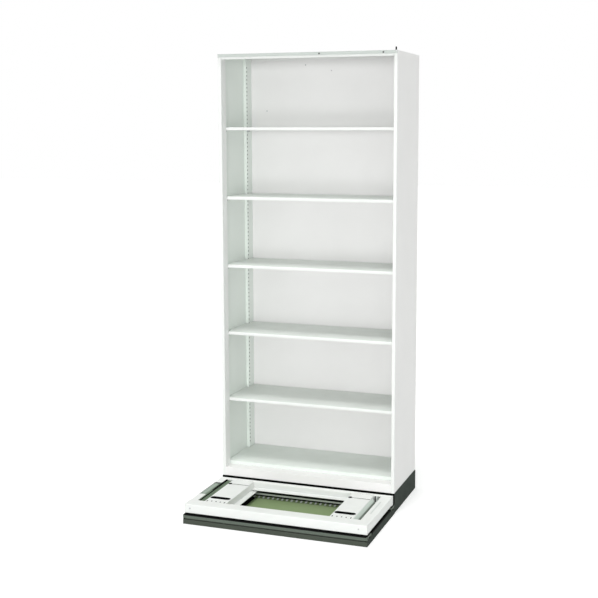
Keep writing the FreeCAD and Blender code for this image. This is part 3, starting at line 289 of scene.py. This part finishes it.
def metal(name, colour, dark, roughness, brush, spangle=0.0):
    """Plated or turned steel: fine brush lines, spangle, and a little tarnish."""
    steel = Finish(name)
    rounded = steel.rounded(radius=0.0004)
    tarnish = steel.remap(steel.noise(scale=60.0, detail=5.0), 0.4, 0.7, 0.0, 0.5)
    base = steel.mix(tarnish, colour, dark)
    if spangle:
        base = steel.mix(spangle, base, steel.cells(scale=110.0), "MULTIPLY")
    lines = steel.noise(scale=1.0, detail=4.0, vector=steel.stretch(brush))
    rough = steel.remap(lines, 0.3, 0.7, roughness - 0.08, roughness + 0.1)
    steel.feed(steel.shader.inputs["Base Color"], base)
    steel.feed(steel.shader.inputs["Roughness"], rough)
    steel.feed(steel.shader.inputs["Normal"],
               steel.bump(lines, distance=0.00002, normal=rounded))
    steel.shader.inputs["Metallic"].default_value = 1.0
    return steel.material


def moulded(name, colour, scuffed, roughness, grain, gloss=0.4):
    """Moulded plastic or rubber: a fine grain, soft scuffs along the edges and in patches."""
    stuff = Finish(name)
    rounded = stuff.rounded(radius=0.0006)
    scuffs = stuff.remap(stuff.noise(scale=120.0, detail=5.0), 0.45, 0.7, 0.0, 0.5)
    worn = stuff.math("MAXIMUM", stuff.math("MULTIPLY", stuff.edges(rounded), 0.6),
                      stuff.math("MULTIPLY", scuffs, 0.5))
    stuff.feed(stuff.shader.inputs["Base Color"], stuff.mix(worn, colour, scuffed))
    rough = stuff.remap(stuff.noise(scale=200.0, detail=3.0), 0.3, 0.7,
                        roughness - 0.06, roughness + 0.08)
    stuff.feed(stuff.shader.inputs["Roughness"], rough)
    grained = stuff.bump(stuff.noise(scale=grain, detail=2.0), distance=0.00004, normal=rounded)
    stuff.feed(stuff.shader.inputs["Normal"], grained)
    stuff.shader.inputs["Specular IOR Level"].default_value = gloss
    return stuff.material


# --- finishes --------------------------------------------------------------------------------

case_colour = rgb(0.880, 0.890, 0.878)
worn_white = rgb(0.72, 0.73, 0.71)
# the base's dark grey, partly painted shade: set to the dark of the base's shaded sides
base_colour = rgb(0.042, 0.052, 0.044)
worn_grey = rgb(0.16, 0.17, 0.155)
along_x = (3.0, 420.0, 420.0)

finishes = {
    "case_white": powder_coat("case_white", case_colour, worn_white),
    "guide_paint": powder_coat("guide_paint", rgb(0.70, 0.735, 0.71), rgb(0.48, 0.50, 0.49),
                               roughness=0.38),
    # undersides near black: painted shade, deepening the shadow in the gaps under the carriage
    "carriage_white": powder_coat("carriage_white", rgb(0.87, 0.885, 0.868),
                                  rgb(0.70, 0.71, 0.69), roughness=0.40, dust=0.12,
                                  below=rgb(0.035, 0.038, 0.035)),
    "base_grey": powder_coat("base_grey", base_colour, worn_grey,
                             roughness=0.60, dust=0.05, wear=0.4, gloss=0.03),
    "floor_olive": powder_coat("floor_olive", rgb(0.215, 0.300, 0.135),
                               rgb(0.30, 0.34, 0.25), roughness=0.6, dust=0.10, wear=0.3),
    # tops near black: painted shade of the rails lying under the carriage
    "rail_grey": powder_coat("rail_grey", rgb(0.13, 0.155, 0.13), rgb(0.42, 0.44, 0.41),
                             roughness=0.40, dust=0.05, wear=0.6, streaks=along_x,
                             top=rgb(0.010, 0.012, 0.010), gloss=0.05),
    "zinc_steel": metal("zinc_steel", rgb(0.62, 0.63, 0.64), rgb(0.42, 0.43, 0.44),
                        roughness=0.38, brush=(60.0, 60.0, 60.0), spangle=0.12),
    "screw_steel": metal("screw_steel", rgb(0.17, 0.17, 0.17), rgb(0.07, 0.07, 0.07),
                         roughness=0.40, brush=(300.0, 300.0, 300.0)),
    "bright_steel": metal("bright_steel", rgb(0.72, 0.72, 0.73), rgb(0.50, 0.50, 0.50),
                          roughness=0.24, brush=(900.0, 30.0, 900.0)),
    "stop_black": moulded("stop_black", rgb(0.004, 0.004, 0.004), rgb(0.014, 0.014, 0.014),
                          roughness=0.80, grain=1400.0, gloss=0.03),
    "wheel_plastic": moulded("wheel_plastic", rgb(0.045, 0.045, 0.047), rgb(0.14, 0.14, 0.14),
                             roughness=0.5, grain=900.0),
}

for row in frame["record"]["subparts"]:
    piece = nodes[row["node"]]
    piece.data.materials.clear()
    piece.data.materials.append(finishes[row["material_slot"]])


def dress(material, *names):
    """Gives CAD nodes another tone of their slot's finish."""
    for name in names:
        nodes[name].data.materials[0] = material


# where painted shade begins: a height on the base sides, and stretches along x for tinted copies
shade_rim_height = 0.0345
wall_shade_fade = (-0.4496, -0.4492)
liner_shade_fade = (-0.436, -0.408)
slope_shade_fade = (0.3715, 0.3745)

# the top band of the base sides near black: painted shade of the gap under the carriage
dress(powder_coat("base_grey_shade_rim", base_colour, worn_grey,
                  roughness=0.60, dust=0.05, wear=0.2,
                  rim=(shade_rim_height, rgb(0.006, 0.007, 0.006)), gloss=0.03),
      "base_side_left", "base_side_right")
# a greener copy inward of the left wall's outer face: painted shade on the inner faces of the left
# wall, the left rear post and the deck
dress(powder_coat("wall_shaded_white", case_colour, worn_white,
                  fade=(*wall_shade_fade, rgb(0.848, 0.900, 0.858))),
      "side_panel_left", "rear_post_left", "deck_panel")
# a less green copy of the white for the back panel: painted light, its tone where the front light
# falls
dress(powder_coat("back_lit_white", rgb(0.888, 0.876, 0.877), worn_white), "back_panel")
# a lighter, less green copy for the right side panel and the toe fascia: painted light
dress(powder_coat("side_lit_white", rgb(0.905, 0.893, 0.890), worn_white),
      "side_panel_right", "toe_fascia")
# greener, darker shelf tops: painted shade where the light grazes them
dress(powder_coat("shelf_shaded_white", case_colour, worn_white, top=rgb(0.80, 0.84, 0.805)),
      "shelf_1", "shelf_2", "shelf_3", "shelf_4", "shelf_5")

# mid grey for the strips inside the rear posts: painted shade seen through the slots
slot_shade_grey = powder_coat("slot_shade_grey", rgb(0.28, 0.32, 0.29), rgb(0.30, 0.32, 0.30),
                           roughness=0.6, dust=0.05, wear=0.2, gloss=0.1)
# a lighter copy of the base grey for front faces: painted light where the lamps reach them
front_lit_grey = powder_coat("front_lit_grey", rgb(0.078, 0.090, 0.074), worn_grey,
                        roughness=0.60, dust=0.05, wear=0.3, gloss=0.03)
dress(front_lit_grey, "front_kick")
# green grey turning near black along x: painted shade, and the olive floor's green cast as painted
# reflection
liner_shade_green = powder_coat("liner_shade_green", rgb(0.40, 0.47, 0.41), rgb(0.45, 0.50, 0.45),
                          roughness=0.6, dust=0.05, wear=0.2,
                          fade=(*liner_shade_fade, rgb(0.130, 0.180, 0.120)), gloss=0.1)
# light green turning dark along x: painted shade on the sloped sheet in the right gap
slope_shade_green = powder_coat("slope_shade_green", rgb(0.72, 0.80, 0.74), rgb(0.60, 0.65, 0.60),
                          roughness=0.5, dust=0.05, wear=0.2,
                          fade=(*slope_shade_fade, rgb(0.24, 0.28, 0.24)), gloss=0.2)


# --- mesh helpers ----------------------------------------------------------------------------

rounding_steps = 3
end_share = 0.6
arc_steps = 16
circle_sides = 24
thread_pitch = 0.0010
weld_distance = 0.000001
hole_play = 0.0002

circle = [(math.cos(math.tau * i / circle_sides), math.sin(math.tau * i / circle_sides))
          for i in range(circle_sides)]

# share of the screw head's radius and of its height, from the underside to the flat top
head_profile = ((0.94, 0.0), (1.0, 0.12), (1.0, 0.40), (0.95, 0.68), (0.84, 0.90), (0.70, 1.0))
# shares of the shank's radius: the thread's root and the point at the end
thread_root = 0.82
shank_point = 0.4
# shares of the thread's pitch above the start of a turn: its root and its crest
root_place = 0.1
crest_place = 0.5
# shares of the head's radius and height: the cross recess's arms, half width, taper and floor
recess_reach = 0.52
recess_half = 0.13
recess_taper = 0.8
recess_floor = 0.35


class Shape:
    """A mesh in the making; every call adds one closed form to it."""

    def __init__(self):
        self.mesh = bmesh.new()

    def row(self, points):
        return [self.mesh.verts.new(point) for point in points]

    def join(self, first, second):
        """Quads between two rows of equally many points."""
        for i in range(len(first)):
            j = (i + 1) % len(first)
            self.mesh.faces.new((first[i], first[j], second[j], second[i]))

    def solid(self, loops):
        """A form through the loops, with a cap at each end."""
        rows = [self.row(loop) for loop in loops]
        for first, second in zip(rows, rows[1:]):
            self.join(first, second)
        self.mesh.faces.new(rows[0][::-1])
        self.mesh.faces.new(rows[-1])

    def band(self, loops):
        """A form through the loops and back to the first, open in the middle."""
        rows = [self.row(loop) for loop in loops]
        for first, second in zip(rows, rows[1:] + rows[:1]):
            self.join(first, second)

    def rounded_box(self, low, high, radius):
        """A box with rounded edges; its ends along x are rounded a little less."""
        quarter = [math.pi / 2 * i / rounding_steps for i in range(rounding_steps + 1)]
        end = radius * end_share
        slices = [(low[0] + end * (1 - math.sin(angle)), end * (1 - math.cos(angle)))
                  for angle in quarter[::-1]]
        slices += [(high[0] - end * (1 - math.sin(angle)), end * (1 - math.cos(angle)))
                   for angle in quarter]
        corners = [
            (high[1] - radius, high[2] - radius),
            (low[1] + radius, high[2] - radius),
            (low[1] + radius, low[2] + radius),
            (high[1] - radius, low[2] + radius),
        ]
        loops = []
        for x, shrink in slices:
            reach = radius - shrink
            loop = []
            for number, (y, z) in enumerate(corners):
                for angle in quarter:
                    turned = angle + number * math.pi / 2
                    loop.append((x, y + reach * math.cos(turned), z + reach * math.sin(turned)))
            loops.append(loop)
        self.solid(loops)

    def screw(self, seat, facing, head_radius, head_height, shank_radius, length):
        """A pan head with a cross recess on a threaded shank; seat is under the head's middle."""
        across = facing.orthogonal().normalized()
        other = facing.cross(across)

        def at(x, y, height):
            return seat + across * x + other * y + facing * height

        def ring(radius, height):
            return [at(radius * x, radius * y, height) for x, y in circle]

        rings = [ring(shank_radius * shank_point, -length)]
        turns = int(length / thread_pitch)
        for number in range(turns, 0, -1):
            rings.append(ring(shank_radius * thread_root, -thread_pitch * (number - root_place)))
            rings.append(ring(shank_radius, -thread_pitch * (number - crest_place)))
        rings.append(ring(shank_radius * thread_root, 0.0))
        for share, height in head_profile:
            rings.append(ring(head_radius * share, head_height * height))
        rows = [self.row(loop) for loop in rings]
        for first, second in zip(rows, rows[1:]):
            self.join(first, second)
        self.mesh.faces.new(rows[0][::-1])
        rim = rows[-1]

        reach = head_radius * recess_reach
        half = head_radius * recess_half
        corners = []
        for number in range(4):
            turn = Matrix.Rotation(math.pi / 2 * number, 2)
            for x, y in ((reach, -half), (reach, half), (half, half)):
                corners.append(turn @ Vector((x, y)))
        edge = self.row([at(x, y, head_height) for x, y in corners])
        floor = self.row([at(x * recess_taper, y * recess_taper, head_height * recess_floor)
                          for x, y in corners])
        self.join(edge, floor)
        step = circle_sides // 4
        for number in range(4):
            arm = number * 3
            first, second, inner = edge[arm:arm + 3]
            following = edge[(arm + 3) % 12]
            base = number * step
            self.mesh.faces.new((first, rim[base - 1], rim[base], rim[base + 1], second))
            around = [rim[(base + i) % circle_sides] for i in range(1, step)]
            self.mesh.faces.new([second] + around + [following, inner])
            self.mesh.faces.new((floor[arm - 1], floor[arm], floor[arm + 1], floor[arm + 2]))
        self.mesh.faces.new([floor[number * 3 + 2] for number in range(4)])

    def piece(self, name, body, slot, *replaced, finish=None):
        """Makes the object with its finish, hangs it on its body, and hides the CAD nodes it
        replaces.
        """
        bmesh.ops.recalc_face_normals(self.mesh, faces=self.mesh.faces)
        data = bpy.data.meshes.new(name)
        self.mesh.to_mesh(data)
        self.mesh.free()
        thing = bpy.data.objects.new(name, data)
        scene.collection.objects.link(thing)
        data.materials.append(finish or finishes[slot])
        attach(thing, body)
        if replaced:
            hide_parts(*replaced)


def strip(name, body, slot, low, high, radius, finish=None):
    """A piece that is one rounded box."""
    shape = Shape()
    shape.rounded_box(low, high, radius)
    shape.piece(name, body, slot, finish=finish)


def loose_parts(node):
    """Lowest and highest corner of each loose part of a CAD node."""
    mesh = bmesh.new()
    mesh.from_mesh(nodes[node].data)
    bmesh.ops.remove_doubles(mesh, verts=mesh.verts, dist=weld_distance)
    waiting = set(mesh.verts)
    found = []
    while waiting:
        stack = [waiting.pop()]
        points = []
        while stack:
            point = stack.pop()
            points.append(point.co.copy())
            for edge in point.link_edges:
                neighbour = edge.other_vert(point)
                if neighbour in waiting:
                    waiting.remove(neighbour)
                    stack.append(neighbour)
        low = Vector([min(point[axis] for point in points) for axis in range(3)])
        high = Vector([max(point[axis] for point in points) for axis in range(3)])
        found.append((low, high))
    mesh.free()
    return sorted(found, key=lambda corners: tuple(corners[0]))


def oblong_loop(centre, straight, radius, level):
    """Points round an oblong that lies along x; a circle where the straight part is 0."""
    points = []
    for side in (1, -1):
        for i in range(arc_steps + 1):
            angle = -math.pi / 2 * side + math.pi * i / arc_steps
            points.append((centre[0] + side * straight / 2 + radius * math.cos(angle),
                           centre[1] + radius * math.sin(angle), level))
    if not straight:
        points = points[:arc_steps] + points[arc_steps + 1:-1]
    return points


edging_wall = 0.0012
edging_height = 0.0008


def edging(shape, centre, straight, radius, top, depth, lip):
    """A moulded edging in a hole: a lip on the sheet and a sleeve down through it.

    Drawn black, the sleeve is painted shade inside the hole.
    """
    profile = (
        (-edging_wall, top - depth),
        (-edging_wall, top + edging_height * 0.6),
        (-edging_wall * 0.6, top + edging_height),
        (lip * 0.7, top + edging_height),
        (lip, top + edging_height * 0.5),
        (lip, top),
        (-hole_play, top),
        (-hole_play, top - depth),
    )
    shape.band([oblong_loop(centre, straight, radius + offset, level)
                for offset, level in profile])


# --- screws ----------------------------------------------------------------------------------

screw_head_height = 0.0018
screw_shank_radius = 0.0020
forward = Vector((0, -1, 0))
upright = Vector((0, 0, 1))


def make_screws(name, node, body, slot, facing):
    """Replaces a node of plain screws, one by one, with cross-recessed ones of the same size."""
    shape = Shape()
    axis = [abs(round(number)) for number in facing].index(1)
    for low, high in loose_parts(node):
        head_radius = max((high - low)[i] for i in range(3) if i != axis) / 2
        outer = high[axis] if facing[axis] > 0 else low[axis]
        seat = (low + high) / 2
        seat[axis] = outer - facing[axis] * screw_head_height
        length = (high - low)[axis] - screw_head_height
        shape.screw(seat, facing, head_radius, screw_head_height, screw_shank_radius, length)
    shape.piece(name, body, slot, node)


make_screws("guide_rail_screw_set", "guide_rail_screws", "bookcase", "screw_steel", forward)
make_screws("fascia_screw_set", "fascia_screws", "carriage", "zinc_steel", forward)
make_screws("rail_screw_set", "rail_screws", "bookcase", "screw_steel", upright)


# --- case trim -------------------------------------------------------------------------------

# strips inside the rear posts, seen through the posts' slots; their grey is painted shade
backing_near = 0.00135
backing_far = 0.0022
backing_front = 0.0015
backing_back = 0.0165
backing_bottom = 0.172
backing_top = 2.165

post_low, post_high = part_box("rear_post_left")
post_face = abs(post_high.x)
backing = Shape()
for sign in (-1, 1):
    near = sign * (post_face + backing_near)
    far = sign * (post_face + backing_far)
    backing.rounded_box((min(near, far), post_low.y + backing_front, backing_bottom),
                        (max(near, far), post_low.y + backing_back, backing_top),
                        radius=0.0003)
backing.piece("post_slot_shade_strips", "bookcase", "guide_paint", finish=slot_shade_grey)

# x and z of each rivet, and the radius and rise of its head's rings
rivet_places = ((-0.1354, 2.1640), (0.0037, 2.1342), (-0.3475, 1.9349))
rivet_profile = ((0.0034, 0.0), (0.0032, 0.0005), (0.0024, 0.0010), (0.0010, 0.0013))

panel_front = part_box("back_panel")[0].y
rivets = Shape()
for x, z in rivet_places:
    rivets.solid([[(x + radius * across, panel_front - rise, z + radius * up)
                   for across, up in circle] for radius, rise in rivet_profile])
rivets.piece("back_panel_rivets", "bookcase", "zinc_steel")


# --- carriage trim: holes and cover plates ---------------------------------------------------

slot_straight = 0.073
slot_radius = 0.0125
slot_line = -0.290
slot_lip = 0.0022
sight_radius = 0.0065
sight_offset = -0.0435
sight_line = -0.077
sight_lip = 0.0038
sleeve_depth = 0.014
hole_shade_play = 0.0013
hole_shade_levels = (0.0120, 0.0105)
# thin black lines before and behind each cover plate: painted shade along its edges
shade_line_inset = 0.001
shade_line_width = 0.0030
shade_line_gap = 0.0004
shade_line_rise = 0.0007

member_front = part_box("cross_member_left")[0].y
member_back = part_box("cross_member_left")[1].y
carriage_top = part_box("cross_member_left")[1].z


def member_middle(side):
    low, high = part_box("cross_member_" + side)
    return (low.x + high.x) / 2


slots = Shape()
eyes = Shape()
shade_lines = Shape()
for member_side in ("left", "right"):
    middle = member_middle(member_side)
    sight_place = (middle + sight_offset, sight_line)
    edging(slots, (middle, slot_line), slot_straight, slot_radius, carriage_top,
           sleeve_depth, slot_lip)
    edging(eyes, sight_place, 0.0, sight_radius, carriage_top, sleeve_depth, sight_lip)
    low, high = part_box("cover_plate_" + member_side)
    for start in (low.y - shade_line_width, high.y + shade_line_gap):
        shade_lines.rounded_box((low.x + shade_line_inset, start, carriage_top),
                          (high.x - shade_line_inset, start + shade_line_width, carriage_top + shade_line_rise),
                          radius=0.0003)
    # a black disc down in the sight hole: painted shade at its bottom
    eyes.solid([oblong_loop(sight_place, 0.0, sight_radius - hole_shade_play, carriage_top - depth)
                for depth in hole_shade_levels])
# the black sleeves and discs paint the shade inside the holes
slots.piece("slot_shade_sleeves", "carriage", "stop_black")
eyes.piece("sight_hole_shade_sleeves", "carriage", "stop_black")
shade_lines.piece("cover_plate_seals", "carriage", "stop_black")

# five small marks ahead of each oblong slot; the outer two are longer and narrower
mark_pitch = 0.0222
mark_inset = 0.0095
outer_mark = (0.0026, 0.0085)
inner_mark = (0.0034, 0.0045)
mark_profile = ((1.0, 0.0), (0.92, 0.0003), (0.6, 0.0004))

marks = Shape()
for member_side in ("left", "right"):
    middle = member_middle(member_side)
    for number in range(-2, 3):
        half_x, half_y = outer_mark if abs(number) == 2 else inner_mark
        x = middle + number * mark_pitch
        y = member_front + mark_inset
        marks.solid([[(x + half_x * share * across, y + half_y * share * up, carriage_top + rise)
                      for across, up in circle] for share, rise in mark_profile])
marks.piece("member_front_marks", "carriage", "stop_black")


# --- carriage trim: side beams and the gaps beside the cover plates --------------------------

beam_width = 0.046
tray_reach = 0.021
gap_front = member_front + 0.006
gap_back = member_back - 0.012
left_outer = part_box("carriage_side_left")[0].x
left_inner = left_outer + beam_width
left_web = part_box("cover_plate_left")[0].x - tray_reach
right_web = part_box("cover_plate_right")[1].x

# painted shade: a dark line along the beam's edge, which turns green from here to the front
trim_break = -0.195
trim_start = gap_front - 0.004
trim_end = gap_back + 0.002
trim_outer = left_inner - 0.0074
trim_inner = left_inner - 0.0004

# the sheet below the left cut-out, and the border on top beside it, both in painted shade
liner_inset = 0.0020
liner_front = -0.262
liner_back = -0.075
border_outer = -0.4138
border_front = -0.2605
border_back = -0.0765
border_rise = 0.0005

edge_shade = Shape()
edge_shade.rounded_box((trim_outer, trim_break, carriage_top),
                      (trim_inner, trim_end, carriage_top + 0.0006), radius=0.0002)
edge_shade.rounded_box((left_inner + 0.0001, trim_start, carriage_top - 0.0045),
                      (left_inner + 0.0010, trim_end, carriage_top + 0.0004), radius=0.0003)
edge_shade.piece("left_beam_edge_trim", "carriage", "stop_black")

# a sheet in the slit beside the left cover plate, in painted shade
strip("left_gap_shade_sheet", "carriage", "floor_olive",
      (left_inner + 0.0012, gap_front, carriage_top - 0.0060),
      (left_web - 0.0003, gap_back, carriage_top - 0.0042), radius=0.0005, finish=liner_shade_green)
strip("cutout_shade_sheet", "carriage", "floor_olive",
      (left_outer + liner_inset, liner_front, carriage_top - 0.0090),
      (left_inner - liner_inset, liner_back, carriage_top - 0.0070),
      radius=0.0005, finish=liner_shade_green)

border = Shape()
border.rounded_box((border_outer, border_front, carriage_top),
                   (left_inner - 0.0075, border_back, carriage_top + border_rise), radius=0.0002)
border.rounded_box((trim_outer, trim_start, carriage_top),
                   (trim_inner, trim_break - 0.0005, carriage_top + border_rise), radius=0.0002)
border.piece("cutout_shade_border", "carriage", "floor_olive", finish=liner_shade_green)

# a sloped sheet in the right gap beside the cover plate; its colour is painted shade
# x from the cover plate and z from the carriage's top
slope_profile = ((0.0006, -0.0025), (0.0006, -0.0050), (0.0185, -0.0320), (0.0205, -0.0310))
slope_shortfall = 0.020
slope = Shape()
slope.solid([[(right_web + x, y, carriage_top + z) for x, z in slope_profile]
             for y in (gap_front, gap_back - slope_shortfall)])
slope.piece("right_gap_slope", "carriage", "guide_paint", finish=slope_shade_green)

groove_low = (0.4143, -0.2617)
groove_high = (0.4217, -0.0923)
strip("groove_inlay", "carriage", "guide_paint", (*groove_low, carriage_top - 0.0007),
      (*groove_high, carriage_top - 0.0001), radius=0.0002)

# a bar and two fingers on the rear tab, and the plate between them
latch_front = -0.0246
latch_back = -0.0222
bar_low = (0.3680, latch_front, 0.0650)
bar_high = (0.3732, latch_back, 0.0940)
finger_start = 0.3822
finger_end = 0.3935
finger_levels = (0.0700, 0.0905)
finger_height = 0.0028
keeper_low = (0.3733, -0.0240, 0.0665)
keeper_high = (0.3818, -0.0225, 0.0930)

latch = Shape()
latch.rounded_box(bar_low, bar_high, radius=0.0006)
for level in finger_levels:
    latch.rounded_box((finger_start, latch_front, level),
                      (finger_end, latch_back, level + finger_height), radius=0.0006)
latch.piece("rear_tab_latch", "carriage", "stop_black")
strip("rear_tab_keeper", "carriage", "guide_paint", keeper_low, keeper_high, radius=0.0005)


# --- base trim -------------------------------------------------------------------------------

# a black strip on the plinth's front wall: painted shade of the gap between the case and the
# carriage
plinth_shade_inset = 0.0005
plinth_shade_thickness = 0.0014
plinth_shade_bottom = 0.046
plinth_shade_top_gap = 0.0008

plinth_low, plinth_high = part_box("plinth_front_wall")
strip("plinth_shade_strip", "bookcase", "stop_black",
      (plinth_low.x + plinth_shade_inset, plinth_low.y - plinth_shade_thickness, plinth_shade_bottom),
      (plinth_high.x - plinth_shade_inset, plinth_low.y, plinth_high.z - plinth_shade_top_gap),
      radius=0.0005)

rail_end_play = 0.013
rail_leg_inset = 0.004
rear_shade_thickness = 0.0012
rear_shade_levels = (0.0288, 0.0356)
edge_strip_half = 0.300
edge_strip_thickness = 0.0008
edge_strip_levels = (0.0360, 0.0444)
apron_thickness = 0.0022
apron_top = 0.0262
apron_gap = 0.0002

floor_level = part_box("base_floor")[1].z
rail_low, rail_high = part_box("rear_rail")
leg_front = rail_low.y + rail_leg_inset
apron_front = leg_front - apron_thickness
# a black strip on the rear rail's leg: painted shade under the rail's cap
strip("rear_rail_shade_strip", "bookcase", "stop_black",
      (rail_low.x + rail_end_play, leg_front - rear_shade_thickness, rear_shade_levels[0]),
      (rail_high.x - rail_end_play, leg_front, rear_shade_levels[1]), radius=0.0004)
# a light strip on the front edge of the rail's cap: painted highlight
strip("rear_rail_lit_edge_strip", "bookcase", "guide_paint",
      (-edge_strip_half, rail_low.y - edge_strip_thickness, edge_strip_levels[0]),
      (edge_strip_half, rail_low.y, edge_strip_levels[1]), radius=0.0003)
strip("floor_apron", "bookcase", "floor_olive",
      (rail_low.x + rail_end_play, apron_front, floor_level),
      (rail_high.x - rail_end_play, leg_front - apron_gap, apron_top), radius=0.0005)

# small leaning wedges between the windows of the rail's leg, where the carriage shows them
window_pitch = 0.025
window_length = 0.012
window_start = 0.428
first_gusset = 5
last_gusset = 28
gusset_half = 0.005
gusset_depth = 0.008
gusset_top = 0.0284
gusset_lean = 0.004

gussets = Shape()
for number in range(first_gusset, last_gusset + 1):
    middle = (window_length + window_pitch * number + (window_pitch - window_length) / 2
              - window_start)
    gussets.solid([
        [(middle + side * gusset_half, apron_front - gusset_depth, floor_level),
         (middle + side * gusset_half, apron_front, floor_level),
         (middle + side * gusset_half + gusset_lean, apron_front, gusset_top)]
        for side in (-1, 1)
    ])
gussets.piece("rear_rail_gussets", "bookcase", "guide_paint")

# a black strip on the front rail's cap: painted shade of the gap under the carriage
# y and z from the upper front edge of the front rail
front_shade_profile = ((-0.0007, -0.0026), (0.0, -0.0026), (0.0, 0.0), (0.0260, 0.0), (0.0260, 0.0008),
               (-0.0002, 0.0012), (-0.0007, 0.0008))
front_shade_half = 0.449
skirt_half = 0.4405
skirt_thickness = 0.0016
skirt_levels = (0.0252, 0.0284)

front_low, front_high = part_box("front_rail")
lip = Shape()
lip.solid([[(x, front_low.y + y, front_high.z + z) for y, z in front_shade_profile]
           for x in (-front_shade_half, front_shade_half)])
lip.piece("front_rail_shade_strip", "bookcase", "stop_black")
strip("front_rail_skirt", "bookcase", "base_grey",
      (-skirt_half, front_low.y, skirt_levels[0]),
      (skirt_half, front_low.y + skirt_thickness, skirt_levels[1]),
      radius=0.0005, finish=front_lit_grey)

# black strips on top of the base sides: painted shade of the gap under the carriage
side_shade_half = 0.0052
side_shade_front = -0.3465
side_shade_back = -0.0395
side_shade_rise = 0.0010

side_shades = Shape()
for side in ("left", "right"):
    low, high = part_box("base_side_" + side)
    middle = (low.x + high.x) / 2
    side_shades.rounded_box((middle - side_shade_half, side_shade_front, high.z),
                     (middle + side_shade_half, side_shade_back, high.z + side_shade_rise), radius=0.0004)
side_shades.piece("base_side_shade_strips", "bookcase", "stop_black")

# a black strip on the base floor: painted shadow under the left cross member's flange
floor_shadow_left = -0.281
floor_shadow_right = -0.2480
floor_shadow_front = -0.345
floor_shadow_back_gap = 0.0115
floor_shadow_thickness = 0.0016

strip("floor_shadow_strip", "bookcase", "stop_black", (floor_shadow_left, floor_shadow_front, floor_level),
      (floor_shadow_right, leg_front - floor_shadow_back_gap, floor_level + floor_shadow_thickness), radius=0.0006)


# --- floor, backdrop and light ---------------------------------------------------------------

floor_half = 30.0
page_lift = 0.42
page_grey = rgb(0.72, 0.72, 0.72)
white = rgb(1.0, 1.0, 1.0)


def seen_directly(tree):
    """1 for what the camera sees, also in glossy and in clear surfaces."""
    paths = tree.nodes.new("ShaderNodeLightPath")
    seen = paths.outputs["Is Camera Ray"]
    for name in ("Is Glossy Ray", "Is Transmission Ray"):
        either = tree.nodes.new("ShaderNodeMath")
        either.operation = "MAXIMUM"
        tree.links.new(seen, either.inputs[0])
        tree.links.new(paths.outputs[name], either.inputs[1])
        seen = either.outputs[0]
    return seen


def stage_material():
    """A pale floor that reads as the white page, and still takes the object's shadow."""
    paper = bpy.data.materials.new("stage")
    paper.use_nodes = True
    tree = paper.node_tree
    tree.nodes.clear()
    matt = tree.nodes.new("ShaderNodeBsdfDiffuse")
    matt.inputs["Color"].default_value = page_grey
    lift = tree.nodes.new("ShaderNodeEmission")
    lift.inputs["Color"].default_value = white
    strength = tree.nodes.new("ShaderNodeMath")
    strength.operation = "MULTIPLY"
    tree.links.new(seen_directly(tree), strength.inputs[0])
    strength.inputs[1].default_value = page_lift
    tree.links.new(strength.outputs[0], lift.inputs["Strength"])
    both = tree.nodes.new("ShaderNodeAddShader")
    tree.links.new(matt.outputs[0], both.inputs[0])
    tree.links.new(lift.outputs[0], both.inputs[1])
    output = tree.nodes.new("ShaderNodeOutputMaterial")
    tree.links.new(both.outputs[0], output.inputs["Surface"])
    return paper


def make_floor():
    half = floor_half
    corners = [(-half, -half, 0), (half, -half, 0), (half, half, 0), (-half, half, 0)]
    mesh = bpy.data.meshes.new("stage_floor")
    mesh.from_pydata(corners, [], [(0, 1, 2, 3)])
    floor = bpy.data.objects.new("stage_floor", mesh)
    mesh.materials.append(stage_material())
    scene.collection.objects.link(floor)
    floor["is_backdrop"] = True


def make_world(strength, tint):
    """A plain white studio to the eye, and an even light of the given strength and tint."""
    world = bpy.data.worlds.new("studio")
    world.use_nodes = True
    scene.world = world
    tree = world.node_tree
    tree.nodes.clear()
    light = tree.nodes.new("ShaderNodeBackground")
    light.inputs["Color"].default_value = tint
    light.inputs["Strength"].default_value = strength
    page = tree.nodes.new("ShaderNodeBackground")
    page.inputs["Color"].default_value = white
    page.inputs["Strength"].default_value = 1.0
    either = tree.nodes.new("ShaderNodeMixShader")
    tree.links.new(seen_directly(tree), either.inputs[0])
    tree.links.new(light.outputs[0], either.inputs[1])
    tree.links.new(page.outputs[0], either.inputs[2])
    output = tree.nodes.new("ShaderNodeOutputWorld")
    tree.links.new(either.outputs[0], output.inputs["Surface"])


def soft_sun(name, heading, height, strength, spread):
    """A sun lamp; its heading runs from the front round to the right, all angles in degrees."""
    lamp = bpy.data.lights.new(name, "SUN")
    lamp.energy = strength
    lamp.angle = math.radians(spread)
    thing = bpy.data.objects.new(name, lamp)
    around = math.radians(heading)
    up = math.radians(height)
    towards = Vector((math.sin(around) * math.cos(up), -math.cos(around) * math.cos(up),
                      math.sin(up)))
    thing.rotation_euler = towards.to_track_quat("Z", "Y").to_euler()
    scene.collection.objects.link(thing)


def low_panel(place, target, size, power):
    """A square panel light that stands low and shines up at the target."""
    lamp = bpy.data.lights.new("low_front", "AREA")
    lamp.energy = power
    lamp.size = size
    thing = bpy.data.objects.new("low_front", lamp)
    thing.location = place
    thing.rotation_euler = (Vector(place) - Vector(target)).to_track_quat("Z", "Y").to_euler()
    scene.collection.objects.link(thing)


make_floor()
make_world(strength=0.62, tint=rgb(0.97, 1.0, 0.975))
soft_sun("top", heading=0.0, height=76.0, strength=1.22, spread=20.0)
soft_sun("front", heading=12.0, height=1.5, strength=0.70, spread=8.0)
low_panel(place=(1.3, -5.3, 0.35), target=(0.0, 0.3, 1.5), size=1.0, power=42.0)
soft_sun("upper_front", heading=15.0, height=30.0, strength=0.18, spread=30.0)


# --- size ------------------------------------------------------------------------------------

low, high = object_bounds()
